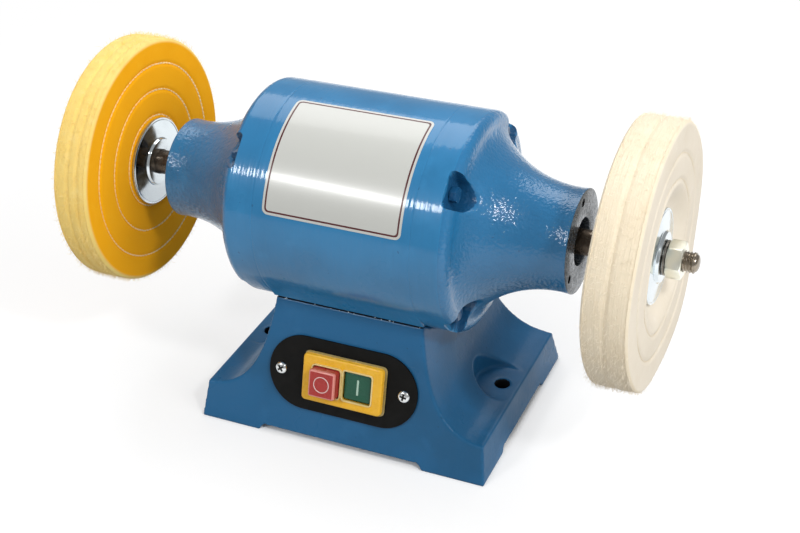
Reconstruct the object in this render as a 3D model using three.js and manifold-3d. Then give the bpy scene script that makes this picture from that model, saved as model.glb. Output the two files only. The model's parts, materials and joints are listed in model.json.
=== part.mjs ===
// Bench polishing machine: an induction motor in a cast housing on a scooped cast foot,
// with a cloth buffing wheel clamped on each end of its shaft.
// Millimetres. X runs along the shaft, the switch faces -Y, +Z is up.
// The origin is on the bench, under the middle of the shaft.

import * as THREE from 'three';
import { mergeVertices } from 'three/addons/utils/BufferGeometryUtils.js';
import Module from 'manifold-3d';

const wasm = await Module();
wasm.setup();

// Clearances shared by all pieces
const fitGap = 0.3;
const seamGap = 0.8;
const overrun = 5;

// Facets around the round pieces
const largeSides = 28;
const mediumSides = 20;
const smallSides = 16;
const screwSides = 6;
const curveSteps = 6;
const cornerSteps = 1;
const holeSides = 8;

// Motor housing
const shaftHeight = 135;
const housingRadius = 65;
const housingLength = 96.8;
const housingWall = 6;
const skirtAngle = THREE.MathUtils.degToRad(34);
const skirtLength = 16.7;

// End bells, measured from the seam outwards
const bellBandLength = 19.6;
const bellLength = 78.3;
const bellWall = 5;
const shoulderRun = 2.4;
const shoulderDrop = 7.1;
const snoutRadius = 30.5;
const snoutBoreRadius = 14;
const snoutLip = 7.7;
const registerDepth = 3;
const registerWall = 3;
const neckHandleShares = [[-0.044, 0.385], [0.449, 1.125]];
const snoutHoleRadius = 2.5;
const snoutHoleDepth = 7;
const snoutHoleInset = 5.6;
const snoutHoleCount = 3;

// Tie bolts that hold both bells on the housing
const tieBoltRadius = 2.5;
const tieBoltInset = 10.5;
const tieBoltFlats = 8;
const tieHeadHeight = 4;
const tieThreadTail = 3;
const pocketHalfWidth = 9;
const pocketSetback = 4.2;
const pocketWall = 4;

// Bearings, one in each bell
const bearingBoreRadius = 7.5;
const bearingOuterRadius = 17.5;
const bearingWidth = 11;
const ballRadius = 2.8;
const ballCount = 8;
const raceWall = 2.2;
const raceGrooveShares = [-0.4, 0.4];
const cageThickness = 1.2;
const cageWidth = 3;
const waveWasherHeight = 1.2;
const waveWasherThickness = 0.5;
const waveWasherWall = 3;

// Shaft
const threadRadius = 6;
const rotorSeatRadius = 10;
const bearingShoulder = 1.6;
const flangeStandOff = 22.6;
const shaftTail = 8.4;
const shaftChamfer = 1.2;

// Rotor and stator
const statorLength = 48;
const windingBoltGap = 4;
const statorSlotCount = 18;
const statorSlotWidth = 5;
const statorSlotDepth = 12;
const windingOverhang = 14;
const windingSpread = 4;
const airGap = 0.5;
const rotorSlotCount = 12;
const rotorSlotWidth = 4;
const rotorSlotDepth = 6;
const rotorRingLength = 6;
const rotorSkew = THREE.MathUtils.degToRad(10);
const skewSteps = 2;

// Wheels and what clamps them
const wheelRadius = 75;
const wheelBoreRadius = 6.35;
const wheelThickness = 17.5;
const wheelEdgeRound = 2.2;
const plyGrooveDepth = 1.1;
const plyGrooveWidth = 1.6;
const loftInside = 2.6;
const loftOutside = 5.6;
const loftRun = 9;
const flangeRadius = 27.4;
const flangeSheet = 1.6;
const flangeDish = 0.8;
const flangeBossRadius = 15;
const flangeBossHeight = 1.8;
const lockWasherThickness = 1.5;
const lockWasherRadius = 10;
const lockWasherSplit = 2;
const nutFlats = 19;
const nutThickness = 8.8;
const nutChamfer = 1.2;

// Foot casting
const baseLength = 188.2;
const baseDepth = 138.8;
const baseWall = 6;
const endDraft = 3.1;
const footHeight = 23.5;
const deckInset = 0.8;
const cradleWall = 6.7;
const scoopHandleShares = [[0.1, 0.486], [0.286, 1]];
const reliefDepth = 4;
const reliefHalfLength = 51.2;
const reliefHalfDepth = 33;
const reliefSlope = 3;
const cavityHalfLength = 41.6;
const cavityMouthHalfDepth = 54;
const cavityLipHeight = 12;
const footPocketInset = 8;
const footPocketHeight = 15;
const footPocketStart = 50;
const footPocketWebHalf = 20;
const benchHoleRadius = 4.5;
const benchHoleInset = 14.3;
const spotFaceRadius = 17.5;

// Screws that hold the housing in its cradle, and the passage for the motor's leads
const cradleScrewRadius = 3;
const cradleScrewHead = 5;
const cradleScrewHeadHeight = 4;
const leadPassageRadius = 5;
const leadPassageOffset = 24;

// Bottom cover
const coverThickness = 1.2;
const coverMargin = 5.4;
const coverLand = 8;
const coverScrewRadius = 2;
const coverScrewHead = 3.6;
const coverScrewHeadHeight = 1.8;
const coverScrewGrip = 8;

// Switch panel, on the leaning front face
const panelMargin = 20.1;
const plateLength = 97;
const plateHeight = 46.5;
const plateThickness = 1.5;
const plateScrewOffset = 40.2;
const plateScrewRadius = 2;
const plateScrewHead = 3.9;
const plateScrewHeadHeight = 2;
const plateScrewDomeShare = 0.7;
const plateScrewGrip = 7;
const switchShift = 1.9;
const bezelEndRim = 7.4;
const bezelSideRim = 6;
const bezelFlange = 3.4;
const bezelThickness = 3.6;
const bezelCorner = 2.4;
const bezelBevel = 0.5;
const gasketThickness = 0.8;
const gasketMargin = 0.7;
const switchBodyDepth = 26;
const stopButtonSize = 17.2;
const startButtonSize = 17.8;
const buttonWeb = 2.3;
const buttonCorner = 1.6;
const buttonBevel = 0.6;
const buttonGap = 0.45;
const buttonTravel = 3;
const buttonSkirt = 6;
const stopButtonRise = 7.5;
const startButtonSink = 1.2;
const stemRadius = 1.8;
const stemLength = 4;
const wellDepth = 18;
const springWireRadius = 0.45;
const springTurns = 3;

// What lies inside the foot
const capacitorRadius = 16;
const capacitorLength = 58;
const capacitorRim = 1.2;
const capacitorPlace = 14;
const clampWidth = 14;
const clampSheet = 1.2;
const clampFoot = 9;
const terminalLength = 42;
const terminalDepth = 18;
const terminalHeight = 14;
const terminalPlace = -28;
const terminalWays = 4;
const terminalWellShare = 0.55;
const terminalWellDepth = 5;

// Cable inlet, on the leaning rear face
const inletHeight = 30;
const inletBoreRadius = 4.5;
const inletBarrelRadius = 7.7;
const inletCollarRadius = 11;
const inletCollarThickness = 4;
const inletBarrelReach = 8;
const inletNutThickness = 5;

// Places that follow from the sizes above
const seatDrop = housingRadius * Math.sin(skirtAngle) + skirtLength * Math.cos(skirtAngle);
const seatHeight = shaftHeight - seatDrop;
const seatHalfDepth = housingRadius * Math.cos(skirtAngle) - skirtLength * Math.sin(skirtAngle);
const housingBore = housingRadius - housingWall;
const seamX = housingLength / 2;
const bellStart = seamX + fitGap;
const bandEnd = seamX + bellBandLength;
const neckStart = bandEnd + shoulderRun;
const neckStartRadius = housingRadius - shoulderDrop;
const snoutFace = seamX + bellLength;
const tieCircle = housingRadius - tieBoltInset;
const tieHoleRadius = tieBoltRadius + fitGap;
const pocketFloor = bandEnd - pocketSetback;
const bearingSeatRadius = bearingOuterRadius + fitGap;
const bearingStop = snoutFace - snoutLip;
const rightBearingEnd = bearingStop - fitGap;
const leftBearingEnd = rightBearingEnd - waveWasherHeight - fitGap;
const statorHalf = statorLength / 2;
const statorRadius = housingBore - fitGap;
const windingRadius = tieCircle - tieBoltRadius - windingBoltGap;
const statorBoreRadius = windingRadius - windingSpread + fitGap - statorSlotDepth;
const rotorRadius = statorBoreRadius - airGap;
const flangeSeat = snoutFace + flangeStandOff;
const innerFlangeStart = flangeSeat + fitGap;
const flangeThickness = flangeSheet + flangeDish;
const flangeReach = flangeThickness + flangeBossHeight;
const wheelStart = innerFlangeStart + flangeThickness + fitGap;
const wheelEnd = wheelStart + wheelThickness;
const outerFlangeStart = wheelEnd + fitGap;
const lockWasherStart = outerFlangeStart + flangeReach + fitGap;
const nutStart = lockWasherStart + lockWasherThickness + fitGap;
const shaftEnd = nutStart + nutThickness + shaftTail;
const baseHalfLength = baseLength / 2;
const baseHalfDepth = baseDepth / 2;
const footHalfLength = baseHalfLength - endDraft;
const deckHalfLength = seamX - deckInset;
const leanRun = baseHalfDepth - seatHalfDepth;
const leanAngle = Math.atan2(leanRun, seatHeight);
const leanShare = leanRun / seatHeight;
const panelHeight = Math.hypot(leanRun, seatHeight) - panelMargin - plateHeight / 2;
const cradleScrewOffset = cavityHalfLength - cradleScrewHead - fitGap * 4;
const coverScrewOffset = cavityHalfLength - coverLand;
const cradleRadius = (housingRadius + fitGap) / Math.cos(Math.PI / largeSides);
const webRadius = cradleRadius + cradleWall;
const coverTop = reliefDepth - fitGap;
const coverBottom = coverTop - coverThickness;
const bezelLength = stopButtonSize + buttonWeb + startButtonSize + bezelEndRim * 2;
const bezelHeight = Math.max(stopButtonSize, startButtonSize) + bezelSideRim * 2;
const switchBodyLength = bezelLength - bezelFlange * 2;
const switchBodyHeight = bezelHeight - bezelFlange * 2;
const stopPlace = -(buttonWeb + stopButtonSize) / 2;
const startPlace = (buttonWeb + startButtonSize) / 2;
const bodyTop = fitGap + plateThickness + fitGap + gasketThickness;
const bezelBack = bodyTop + fitGap;
const bezelFace = bezelBack + bezelThickness;

// The vertices of a closed surface, shared between its triangles, with the empty
// triangles that a revolve leaves on its axis taken out
function closed(geometry) {
  const bare = geometry.clone();
  bare.deleteAttribute('normal');
  bare.deleteAttribute('uv');
  const merged = mergeVertices(bare);
  const source = merged.index.array;
  const kept = [];
  for (let i = 0; i < source.length; i += 3) {
    const [a, b, c] = [source[i], source[i + 1], source[i + 2]];
    if (a !== b && b !== c && c !== a) kept.push(a, b, c);
  }
  merged.setIndex(kept);
  return merged;
}

function toSolid(geometry) {
  const surface = closed(geometry);
  const vertProperties = new Float32Array(surface.attributes.position.array);
  const triVerts = new Uint32Array(surface.index.array);
  return new wasm.Manifold(new wasm.Mesh({ numProp: 3, vertProperties, triVerts }));
}

function toGeometry(solid) {
  const mesh = solid.getMesh();
  const geometry = new THREE.BufferGeometry();
  geometry.setAttribute('position', new THREE.BufferAttribute(new Float32Array(mesh.vertProperties), 3));
  geometry.setIndex(Array.from(mesh.triVerts));
  return geometry;
}

function join(...pieces) {
  return toGeometry(pieces.map(toSolid).reduce((whole, piece) => whole.add(piece)));
}

function cut(body, ...tools) {
  return toGeometry(tools.map(toSolid).reduce((rest, tool) => rest.subtract(tool), toSolid(body)));
}

function common(first, second) {
  return toGeometry(toSolid(first).intersect(toSolid(second)));
}

// A point list of [along the axis, radius] turned round the X axis
function revolve(profile, sides) {
  const points = profile.map(([along, radius]) => new THREE.Vector2(radius, along));
  const closes = profile[0][1] > 0;
  if (closes) points.push(points[0].clone());
  if (THREE.ShapeUtils.area(points) < 0) points.reverse();
  const geometry = new THREE.LatheGeometry(points, sides);
  const basis = new THREE.Matrix4().makeBasis(
    new THREE.Vector3(0, 0, 1),
    new THREE.Vector3(1, 0, 0),
    new THREE.Vector3(0, 1, 0),
  );
  return geometry.applyMatrix4(basis);
}

function rodX(radius, from, to, sides) {
  return revolve([[from, 0], [from, radius], [to, radius], [to, 0]], sides);
}

function rodZ(radius, from, to, sides) {
  return rodX(radius, from, to, sides).rotateY(-Math.PI / 2);
}

function extrude(shape, depth, options = {}) {
  const settings = { depth, bevelEnabled: false, curveSegments: curveSteps, ...options };
  return new THREE.ExtrudeGeometry(shape, settings);
}

// An outline in Y and Z, drawn out along X
function prismX(shape, from, to, options) {
  const basis = new THREE.Matrix4().makeBasis(
    new THREE.Vector3(0, 1, 0),
    new THREE.Vector3(0, 0, 1),
    new THREE.Vector3(1, 0, 0),
  );
  return extrude(shape, to - from, options).applyMatrix4(basis).translate(from, 0, 0);
}

// An outline in X and Z, drawn out along Y
function prismY(shape, from, to, options) {
  return extrude(shape, to - from, options).rotateX(Math.PI / 2).translate(0, to, 0);
}

function prismZ(shape, from, to, options) {
  return extrude(shape, to - from, options).translate(0, 0, from);
}

function box(lowX, highX, lowY, highY, lowZ, highZ) {
  const geometry = new THREE.BoxGeometry(highX - lowX, highY - lowY, highZ - lowZ);
  return geometry.translate((lowX + highX) / 2, (lowY + highY) / 2, (lowZ + highZ) / 2);
}

function polygon(points) {
  return new THREE.Shape(points.map(([x, y]) => new THREE.Vector2(x, y)));
}

function hexagon(flats) {
  const corner = flats / Math.sqrt(3);
  const turns = [0, 1, 2, 3, 4, 5].map((step) => (step * Math.PI) / 3);
  return polygon(turns.map((turn) => [corner * Math.cos(turn), corner * Math.sin(turn)]));
}

function roundedRectangle(width, height, corner, centre = 0) {
  const [right, top] = [width / 2, height / 2];
  const shape = new THREE.Shape();
  shape.absarc(centre + right - corner, top - corner, corner, 0, Math.PI / 2);
  shape.absarc(centre - right + corner, top - corner, corner, Math.PI / 2, Math.PI);
  shape.absarc(centre - right + corner, -top + corner, corner, Math.PI, Math.PI * 1.5);
  shape.absarc(centre + right - corner, -top + corner, corner, Math.PI * 1.5, Math.PI * 2);
  return shape;
}

function circlePath(x, y, radius, sides = holeSides) {
  const points = [];
  for (let index = 0; index < sides; index += 1) {
    const turn = (index / sides) * Math.PI * 2;
    points.push(new THREE.Vector2(x + radius * Math.cos(turn), y + radius * Math.sin(turn)));
  }
  return new THREE.Path(points);
}

// A finish of its own for every piece
function finish(color, roughness, metalness) {
  return new THREE.MeshStandardMaterial({ color, roughness, metalness });
}

const enamel = () => finish('#3a7cb0', 0.3, 0.1);
const bareSteel = () => finish('#8c8a86', 0.4, 0.9);
const zincPlate = () => finish('#c9cdd0', 0.25, 0.95);
const bearingSteel = () => finish('#b4b6b8', 0.2, 1);
const blackPlastic = () => finish('#1c1b1a', 0.5, 0);

function add(parent, name, geometry, material) {
  const mesh = new THREE.Mesh(closed(geometry), material);
  mesh.name = name;
  parent.add(mesh);
  return mesh;
}

const machine = new THREE.Group();

// The motor's pieces are drawn round X and lifted to the shaft's height
const motor = new THREE.Group();
motor.position.z = shaftHeight;
machine.add(motor);

// Both ends are drawn on the right; the left one is turned half round
const rightEnd = new THREE.Group();
const leftEnd = new THREE.Group();
leftEnd.rotation.z = Math.PI;
motor.add(rightEnd, leftEnd);
const ends = [[rightEnd, 'right'], [leftEnd, 'left']];

// The leaning faces: local X runs along the face, local Y up it, local Z out of it
function facePlace(distanceUp) {
  const place = new THREE.Group();
  place.position.y = -baseHalfDepth + distanceUp * Math.sin(leanAngle);
  place.position.z = distanceUp * Math.cos(leanAngle);
  place.rotation.x = Math.PI / 2 - leanAngle;
  return place;
}

const panel = facePlace(panelHeight);
machine.add(panel);

// The switch sits a little to the right of its plate's middle
const switchPlace = new THREE.Group();
switchPlace.position.x = switchShift;
panel.add(switchPlace);

const rearTurn = new THREE.Group();
rearTurn.rotation.z = Math.PI;
const inlet = facePlace(inletHeight);
rearTurn.add(inlet);
machine.add(rearTurn);
machine.updateMatrixWorld(true);

function placedOn(group, geometry) {
  return geometry.applyMatrix4(group.matrixWorld);
}

// Housing: a barrel whose skirts leave it at a tangent and stop above the foot's rim
function arcPoints(radius, from, to, steps) {
  const points = [];
  for (let step = 0; step <= steps; step += 1) {
    const turn = from + ((to - from) * step) / steps;
    points.push(new THREE.Vector2(radius * Math.cos(turn), radius * Math.sin(turn)));
  }
  return points;
}

function housingOutline() {
  const skirtDrop = seatDrop - seamGap;
  const skirtStep = (skirtDrop - housingRadius * Math.sin(skirtAngle)) / Math.cos(skirtAngle);
  const skirtY = housingRadius * Math.cos(skirtAngle) - skirtStep * Math.sin(skirtAngle);
  const underAngle = Math.asin(skirtDrop / housingRadius);
  const outline = new THREE.Shape([
    ...arcPoints(housingRadius, -skirtAngle, Math.PI + skirtAngle, (largeSides * 3) / 4),
    new THREE.Vector2(-skirtY, -skirtDrop),
    ...arcPoints(housingRadius, Math.PI + underAngle, Math.PI * 2 - underAngle, largeSides / 4),
    new THREE.Vector2(skirtY, -skirtDrop),
  ]);
  outline.holes.push(circlePath(0, 0, housingBore, largeSides));
  return outline;
}

function cradleScrewPlaces() {
  return [[-cradleScrewOffset, 0], [cradleScrewOffset, 0]];
}

function addHousing() {
  const barrel = prismX(housingOutline(), -seamX, seamX);
  const holes = cradleScrewPlaces().map(([x, y]) => (
    rodZ(cradleScrewRadius + fitGap, -housingRadius - overrun, 0, holeSides).translate(x, y, 0)
  ));
  const passage = rodZ(leadPassageRadius, -housingRadius - overrun, 0, holeSides);
  passage.translate(cradleScrewOffset, leadPassageOffset, 0);
  add(motor, 'stator_housing', cut(barrel, ...holes, passage), enamel());
}

// End bell: a band, a rounded shoulder and a concave neck that ends in a machined snout
function neckCurve() {
  const run = snoutFace - neckStart;
  const drop = neckStartRadius - snoutRadius;
  const handles = neckHandleShares.map(([along, down]) => (
    new THREE.Vector2(neckStart + run * along, neckStartRadius - drop * down)
  ));
  const start = new THREE.Vector2(neckStart, neckStartRadius);
  const end = new THREE.Vector2(snoutFace, snoutRadius);
  return new THREE.CubicBezierCurve(start, handles[0], handles[1], end);
}

function bellProfile() {
  const neck = neckCurve();
  const outer = neck.getPoints(curveSteps).map((point) => [point.x, point.y]);
  const ringRadius = tieCircle - pocketHalfWidth - pocketWall;
  const bossStart = bearingStop - bearingWidth - bellWall;
  const inner = [];
  for (let step = 0; step <= curveSteps; step += 1) {
    const share = step / curveSteps;
    const point = neck.getPoint(share);
    const tangent = neck.getTangent(share);
    const [along, radius] = [point.x + tangent.y * bellWall, point.y - tangent.x * bellWall];
    if (along < bossStart && radius < ringRadius) inner.push([along, radius]);
  }
  const registerRadius = housingBore - fitGap;
  const registerInner = registerRadius - registerWall;
  return [
    [bellStart, housingRadius],
    [bandEnd - shoulderRun, housingRadius],
    [bandEnd, housingRadius - shoulderRun / 2],
    ...outer,
    [snoutFace, snoutBoreRadius],
    [bearingStop, snoutBoreRadius],
    [bearingStop, bearingSeatRadius],
    [bossStart, bearingSeatRadius],
    [bossStart, inner[inner.length - 1][1]],
    ...inner.reverse(),
    [inner[0][0] - bellWall, ringRadius],
    [pocketFloor - bellWall, ringRadius],
    [pocketFloor - bellWall, housingBore],
    [bellStart + registerDepth, housingBore],
    [bellStart + registerDepth, registerInner],
    [seamX - registerDepth, registerInner],
    [seamX - registerDepth, registerRadius],
    [bellStart, registerRadius],
  ];
}

function atTieBolts(geometry) {
  return [1, 3, 5, 7].map((step) => (
    geometry.clone().translate(0, tieCircle, 0).rotateX((step * Math.PI) / 4)
  ));
}

// Pocket round a tie bolt: a half-round bottom that runs straight out through the band
function pocketTool() {
  const outline = new THREE.Shape([
    new THREE.Vector2(tieBoltInset + overrun, -pocketHalfWidth),
    new THREE.Vector2(tieBoltInset + overrun, pocketHalfWidth),
    ...arcPoints(pocketHalfWidth, Math.PI / 2, Math.PI * 1.5, holeSides),
  ]);
  return prismX(outline, pocketFloor, snoutFace);
}

function bellGeometry() {
  const holeStart = seamX - registerDepth - overrun;
  const holes = atTieBolts(rodX(tieHoleRadius, holeStart, pocketFloor + overrun, holeSides));
  const tapped = [];
  for (let step = 0; step < snoutHoleCount; step += 1) {
    const hole = rodX(snoutHoleRadius, snoutFace - snoutHoleDepth, snoutFace + overrun, holeSides);
    const turn = (step * Math.PI * 2) / snoutHoleCount;
    tapped.push(hole.translate(0, 0, snoutRadius - snoutHoleInset).rotateX(turn));
  }
  return cut(revolve(bellProfile(), largeSides), ...atTieBolts(pocketTool()), ...holes, ...tapped);
}

function addBells() {
  const geometry = bellGeometry();
  ends.forEach(([group, side]) => add(group, `${side}_end_bell`, geometry, enamel()));
}

// Tie bolts run from the right bell's pockets to nuts in the left bell's
function addTieBolts() {
  const headStart = pocketFloor + fitGap;
  const tail = pocketFloor + fitGap + tieHeadHeight + tieThreadTail;
  const head = prismX(hexagon(tieBoltFlats), headStart, headStart + tieHeadHeight);
  const bolt = join(head, rodX(tieBoltRadius, -tail, headStart + tieHeadHeight / 2, screwSides));
  const nutOutline = hexagon(tieBoltFlats);
  nutOutline.holes.push(circlePath(0, 0, tieHoleRadius));
  const nut = prismX(nutOutline, -headStart - tieHeadHeight, -headStart);
  atTieBolts(bolt).forEach((piece, index) => add(motor, `tie_bolt_${index + 1}`, piece, zincPlate()));
  atTieBolts(nut).forEach((piece, index) => add(motor, `tie_nut_${index + 1}`, piece, zincPlate()));
}

// Ball bearings: two grooved races with the balls in a ring cage between them
const pitchRadius = (bearingBoreRadius + bearingOuterRadius) / 2;

function racePoints(wallRadius, edgeRadius, start) {
  const grooveRadius = ballRadius + fitGap * 1.5;
  const middle = start + bearingWidth / 2;
  const side = Math.sign(edgeRadius - pitchRadius);
  const edgeDepth = Math.abs(edgeRadius - pitchRadius);
  const edgeRun = Math.sqrt(grooveRadius ** 2 - edgeDepth ** 2);
  const shoulderTurn = Math.asin(edgeRun / grooveRadius);
  const groove = raceGrooveShares.map((share) => [
    middle + grooveRadius * Math.sin(share * shoulderTurn),
    pitchRadius + side * grooveRadius * Math.cos(share * shoulderTurn),
  ]);
  return [
    [start, wallRadius],
    [start, edgeRadius],
    ...groove,
    [start + bearingWidth, edgeRadius],
    [start + bearingWidth, wallRadius],
  ];
}

function ballRing(start) {
  const middle = start + bearingWidth / 2;
  const ring = revolve([
    [middle - cageWidth / 2, pitchRadius - cageThickness / 2],
    [middle - cageWidth / 2, pitchRadius + cageThickness / 2],
    [middle + cageWidth / 2, pitchRadius + cageThickness / 2],
    [middle + cageWidth / 2, pitchRadius - cageThickness / 2],
  ], ballCount * 2);
  const balls = [];
  for (let index = 0; index < ballCount; index += 1) {
    const ball = new THREE.SphereGeometry(ballRadius, holeSides, holeSides / 2);
    balls.push(ball.translate(middle, pitchRadius, 0).rotateX((index * Math.PI * 2) / ballCount));
  }
  return join(ring, ...balls);
}

function addBearings() {
  const innerBore = bearingBoreRadius + fitGap;
  [[rightEnd, 'right', rightBearingEnd], [leftEnd, 'left', leftBearingEnd]].forEach(([group, side, end]) => {
    const start = end - bearingWidth;
    const inner = racePoints(innerBore, innerBore + raceWall, start);
    const outer = racePoints(bearingOuterRadius, bearingOuterRadius - raceWall, start);
    add(group, `${side}_bearing_inner_race`, revolve(inner, mediumSides), bearingSteel());
    add(group, `${side}_bearing_outer_race`, revolve(outer, mediumSides), bearingSteel());
    add(group, `${side}_bearing_balls`, ballRing(start), bearingSteel());
  });
}

// Wavy spring washer that preloads the left bearing
function addWaveWasher() {
  const middle = bearingStop - fitGap - waveWasherHeight / 2;
  const half = waveWasherThickness / 2;
  const wave = (waveWasherHeight - waveWasherThickness) / 2;
  const geometry = closed(revolve([
    [middle - half, bearingOuterRadius - waveWasherWall],
    [middle - half, bearingOuterRadius],
    [middle + half, bearingOuterRadius],
    [middle + half, bearingOuterRadius - waveWasherWall],
  ], mediumSides));
  const position = geometry.attributes.position;
  for (let i = 0; i < position.count; i += 1) {
    const turn = Math.atan2(position.getZ(i), position.getY(i));
    position.setX(i, position.getX(i) + wave * Math.cos(turn * 3));
  }
  add(leftEnd, 'wave_washer', geometry, bearingSteel());
}

// Shaft: rotor seat in the middle, bearing journals, and a threaded end past each shoulder
function addShaft() {
  const journal = bearingBoreRadius;
  const shoulderRadius = bearingBoreRadius + bearingShoulder;
  const rotorSeat = statorHalf + rotorRingLength;
  const rightStep = rightBearingEnd - bearingWidth - fitGap;
  const leftStep = leftBearingEnd - bearingWidth - fitGap;
  add(motor, 'shaft', revolve([
    [-shaftEnd, 0],
    [-shaftEnd, threadRadius - shaftChamfer],
    [-shaftEnd + shaftChamfer, threadRadius],
    [-flangeSeat, threadRadius],
    [-flangeSeat, journal],
    [-leftStep, journal],
    [-leftStep, shoulderRadius],
    [-rotorSeat, shoulderRadius],
    [-rotorSeat, rotorSeatRadius],
    [rotorSeat, rotorSeatRadius],
    [rotorSeat, shoulderRadius],
    [rightStep, shoulderRadius],
    [rightStep, journal],
    [flangeSeat, journal],
    [flangeSeat, threadRadius],
    [shaftEnd - shaftChamfer, threadRadius],
    [shaftEnd, threadRadius - shaftChamfer],
    [shaftEnd, 0],
  ], mediumSides), bareSteel());
}

// Stator: slotted laminations, with the winding through the slots and round both ends
function slottedPath(count, radius, slotWidth, slotDepth) {
  const points = [];
  for (let index = 0; index < count; index += 1) {
    const turn = (index + 0.5) * ((Math.PI * 2) / count);
    const corners = [[radius, -1], [radius + slotDepth, -1], [radius + slotDepth, 1], [radius, 1]];
    corners.forEach(([reach, side]) => {
      const corner = new THREE.Vector2(reach, (side * slotWidth) / 2);
      points.push(corner.rotateAround(new THREE.Vector2(), turn));
    });
  }
  return points;
}

function addStator() {
  const outline = new THREE.Shape(circlePath(0, 0, statorRadius, largeSides).getPoints());
  outline.holes.push(new THREE.Path(
    slottedPath(statorSlotCount, statorBoreRadius, statorSlotWidth, statorSlotDepth),
  ));
  [1, 3, 5, 7].forEach((step) => {
    const turn = (step * Math.PI) / 4;
    outline.holes.push(circlePath(tieCircle * Math.cos(turn), tieCircle * Math.sin(turn), tieHoleRadius));
  });
  add(motor, 'stator_core', prismX(outline, -statorHalf, statorHalf), finish('#6e6c68', 0.5, 0.8));
}

function addWinding() {
  const inner = statorBoreRadius + windingSpread / 2;
  const outer = windingRadius;
  const start = statorHalf + fitGap;
  const ring = [
    [start, inner],
    [start, outer],
    [start + windingOverhang - windingSpread, outer],
    [start + windingOverhang, outer - windingSpread],
    [start + windingOverhang, inner],
  ];
  const mirrored = ring.map(([along, radius]) => [-along, radius]);
  const bars = [];
  for (let index = 0; index < statorSlotCount; index += 1) {
    const half = statorSlotWidth / 2 - fitGap;
    const reach = start + windingSpread / 2;
    const top = statorBoreRadius + statorSlotDepth - fitGap;
    const turn = (index + 0.5) * ((Math.PI * 2) / statorSlotCount);
    bars.push(box(-reach, reach, inner, top, -half, half).rotateX(turn));
  }
  const winding = join(revolve(ring, statorSlotCount), revolve(mirrored, statorSlotCount), ...bars);
  add(motor, 'stator_winding', winding, finish('#a4512a', 0.4, 0.6));
}

// Turns a prism about X in step with its length, for the rotor's skewed slots
function skewed(geometry) {
  const twisted = closed(geometry);
  const position = twisted.attributes.position;
  const point = new THREE.Vector3();
  const axis = new THREE.Vector3(1, 0, 0);
  for (let i = 0; i < position.count; i += 1) {
    point.fromBufferAttribute(position, i);
    point.applyAxisAngle(axis, (point.x / statorLength) * rotorSkew);
    position.setXYZ(i, point.x, point.y, point.z);
  }
  return twisted;
}

function addRotor() {
  const notched = slottedPath(rotorSlotCount, rotorRadius, rotorSlotWidth, -rotorSlotDepth);
  const core = new THREE.Shape(notched);
  core.holes.push(circlePath(0, 0, rotorSeatRadius + fitGap, mediumSides));
  const stack = prismX(core, -statorHalf, statorHalf, { steps: skewSteps });
  add(motor, 'rotor_core', skewed(stack), finish('#77746f', 0.5, 0.8));

  const half = rotorSlotWidth / 2 - fitGap;
  const barTop = Math.sqrt(rotorRadius ** 2 - (rotorSlotWidth / 2) ** 2) - fitGap;
  const barBottom = rotorRadius - rotorSlotDepth + fitGap;
  const ringStart = statorHalf + fitGap;
  const reach = ringStart + fitGap;
  const bars = [];
  for (let index = 0; index < rotorSlotCount; index += 1) {
    const turn = (index + 0.5) * ((Math.PI * 2) / rotorSlotCount);
    const bar = polygon([[barBottom, -half], [barTop, -half], [barTop, half], [barBottom, half]]);
    bars.push(skewed(prismX(bar, -reach, reach, { steps: skewSteps })).rotateX(turn));
  }
  const ring = [
    [ringStart, barBottom],
    [ringStart, barTop],
    [ringStart + rotorRingLength - fitGap, barTop],
    [ringStart + rotorRingLength - fitGap, barBottom],
  ];
  const mirrored = ring.map(([along, radius]) => [-along, radius]);
  const cage = join(revolve(ring, rotorSlotCount), revolve(mirrored, rotorSlotCount), ...bars);
  add(motor, 'rotor_cage', cage, finish('#b9bbbd', 0.4, 0.9));
}

// Pressed flange, dished so that its rim bears on the wheel
function flangeProfile(start, direction, borePoints) {
  return [
    [flangeSheet / 2, threadRadius + fitGap],
    [flangeSheet / 2, flangeBossRadius],
    [0, flangeRadius - flangeSheet],
    [0, flangeRadius],
    [flangeSheet, flangeRadius],
    [flangeThickness, flangeBossRadius],
    [flangeReach, flangeBossRadius - flangeBossHeight / 2],
    ...borePoints,
  ].map(([distance, radius]) => [start + direction * distance, radius]);
}

// The inner flange has a counterbore that lets its boss reach over the shaft's shoulder
function addFlanges() {
  const bore = threadRadius + fitGap;
  const counterbore = bearingBoreRadius + fitGap;
  const innerProfile = flangeProfile(innerFlangeStart + flangeThickness, -1, [
    [flangeReach, counterbore],
    [flangeThickness, counterbore],
    [flangeThickness, bore],
  ]);
  const outerProfile = flangeProfile(outerFlangeStart, 1, [[flangeReach, bore]]);
  ends.forEach(([group, side]) => {
    add(group, `${side}_inner_flange`, revolve(innerProfile, mediumSides), zincPlate());
    add(group, `${side}_outer_flange`, revolve(outerProfile, mediumSides), zincPlate());
  });
}

// Cloth wheel: three plies, with a groove between each two in the rim
function rimPoints(from, to) {
  const ply = (to - from) / 3;
  const half = plyGrooveWidth / 2;
  const grooves = [1, 2].flatMap((step) => [
    [from + ply * step - half, wheelRadius],
    [from + ply * step, wheelRadius - plyGrooveDepth],
    [from + ply * step + half, wheelRadius],
  ]);
  return [
    [from, wheelRadius - wheelEdgeRound],
    [from + wheelEdgeRound, wheelRadius],
    ...grooves,
    [to - wheelEdgeRound, wheelRadius],
    [to, wheelRadius - wheelEdgeRound],
  ];
}

function wheelProfile(loft) {
  const clampRadius = flangeRadius + fitGap * 2;
  const [inside, outside] = [wheelStart - loft, wheelEnd + loftOutside];
  return [
    [wheelStart, wheelBoreRadius],
    [wheelStart, clampRadius],
    [inside, clampRadius + loftRun],
    ...rimPoints(inside, outside),
    [outside, clampRadius + loftRun],
    [wheelEnd, clampRadius],
    [wheelEnd, wheelBoreRadius],
  ];
}

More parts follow.
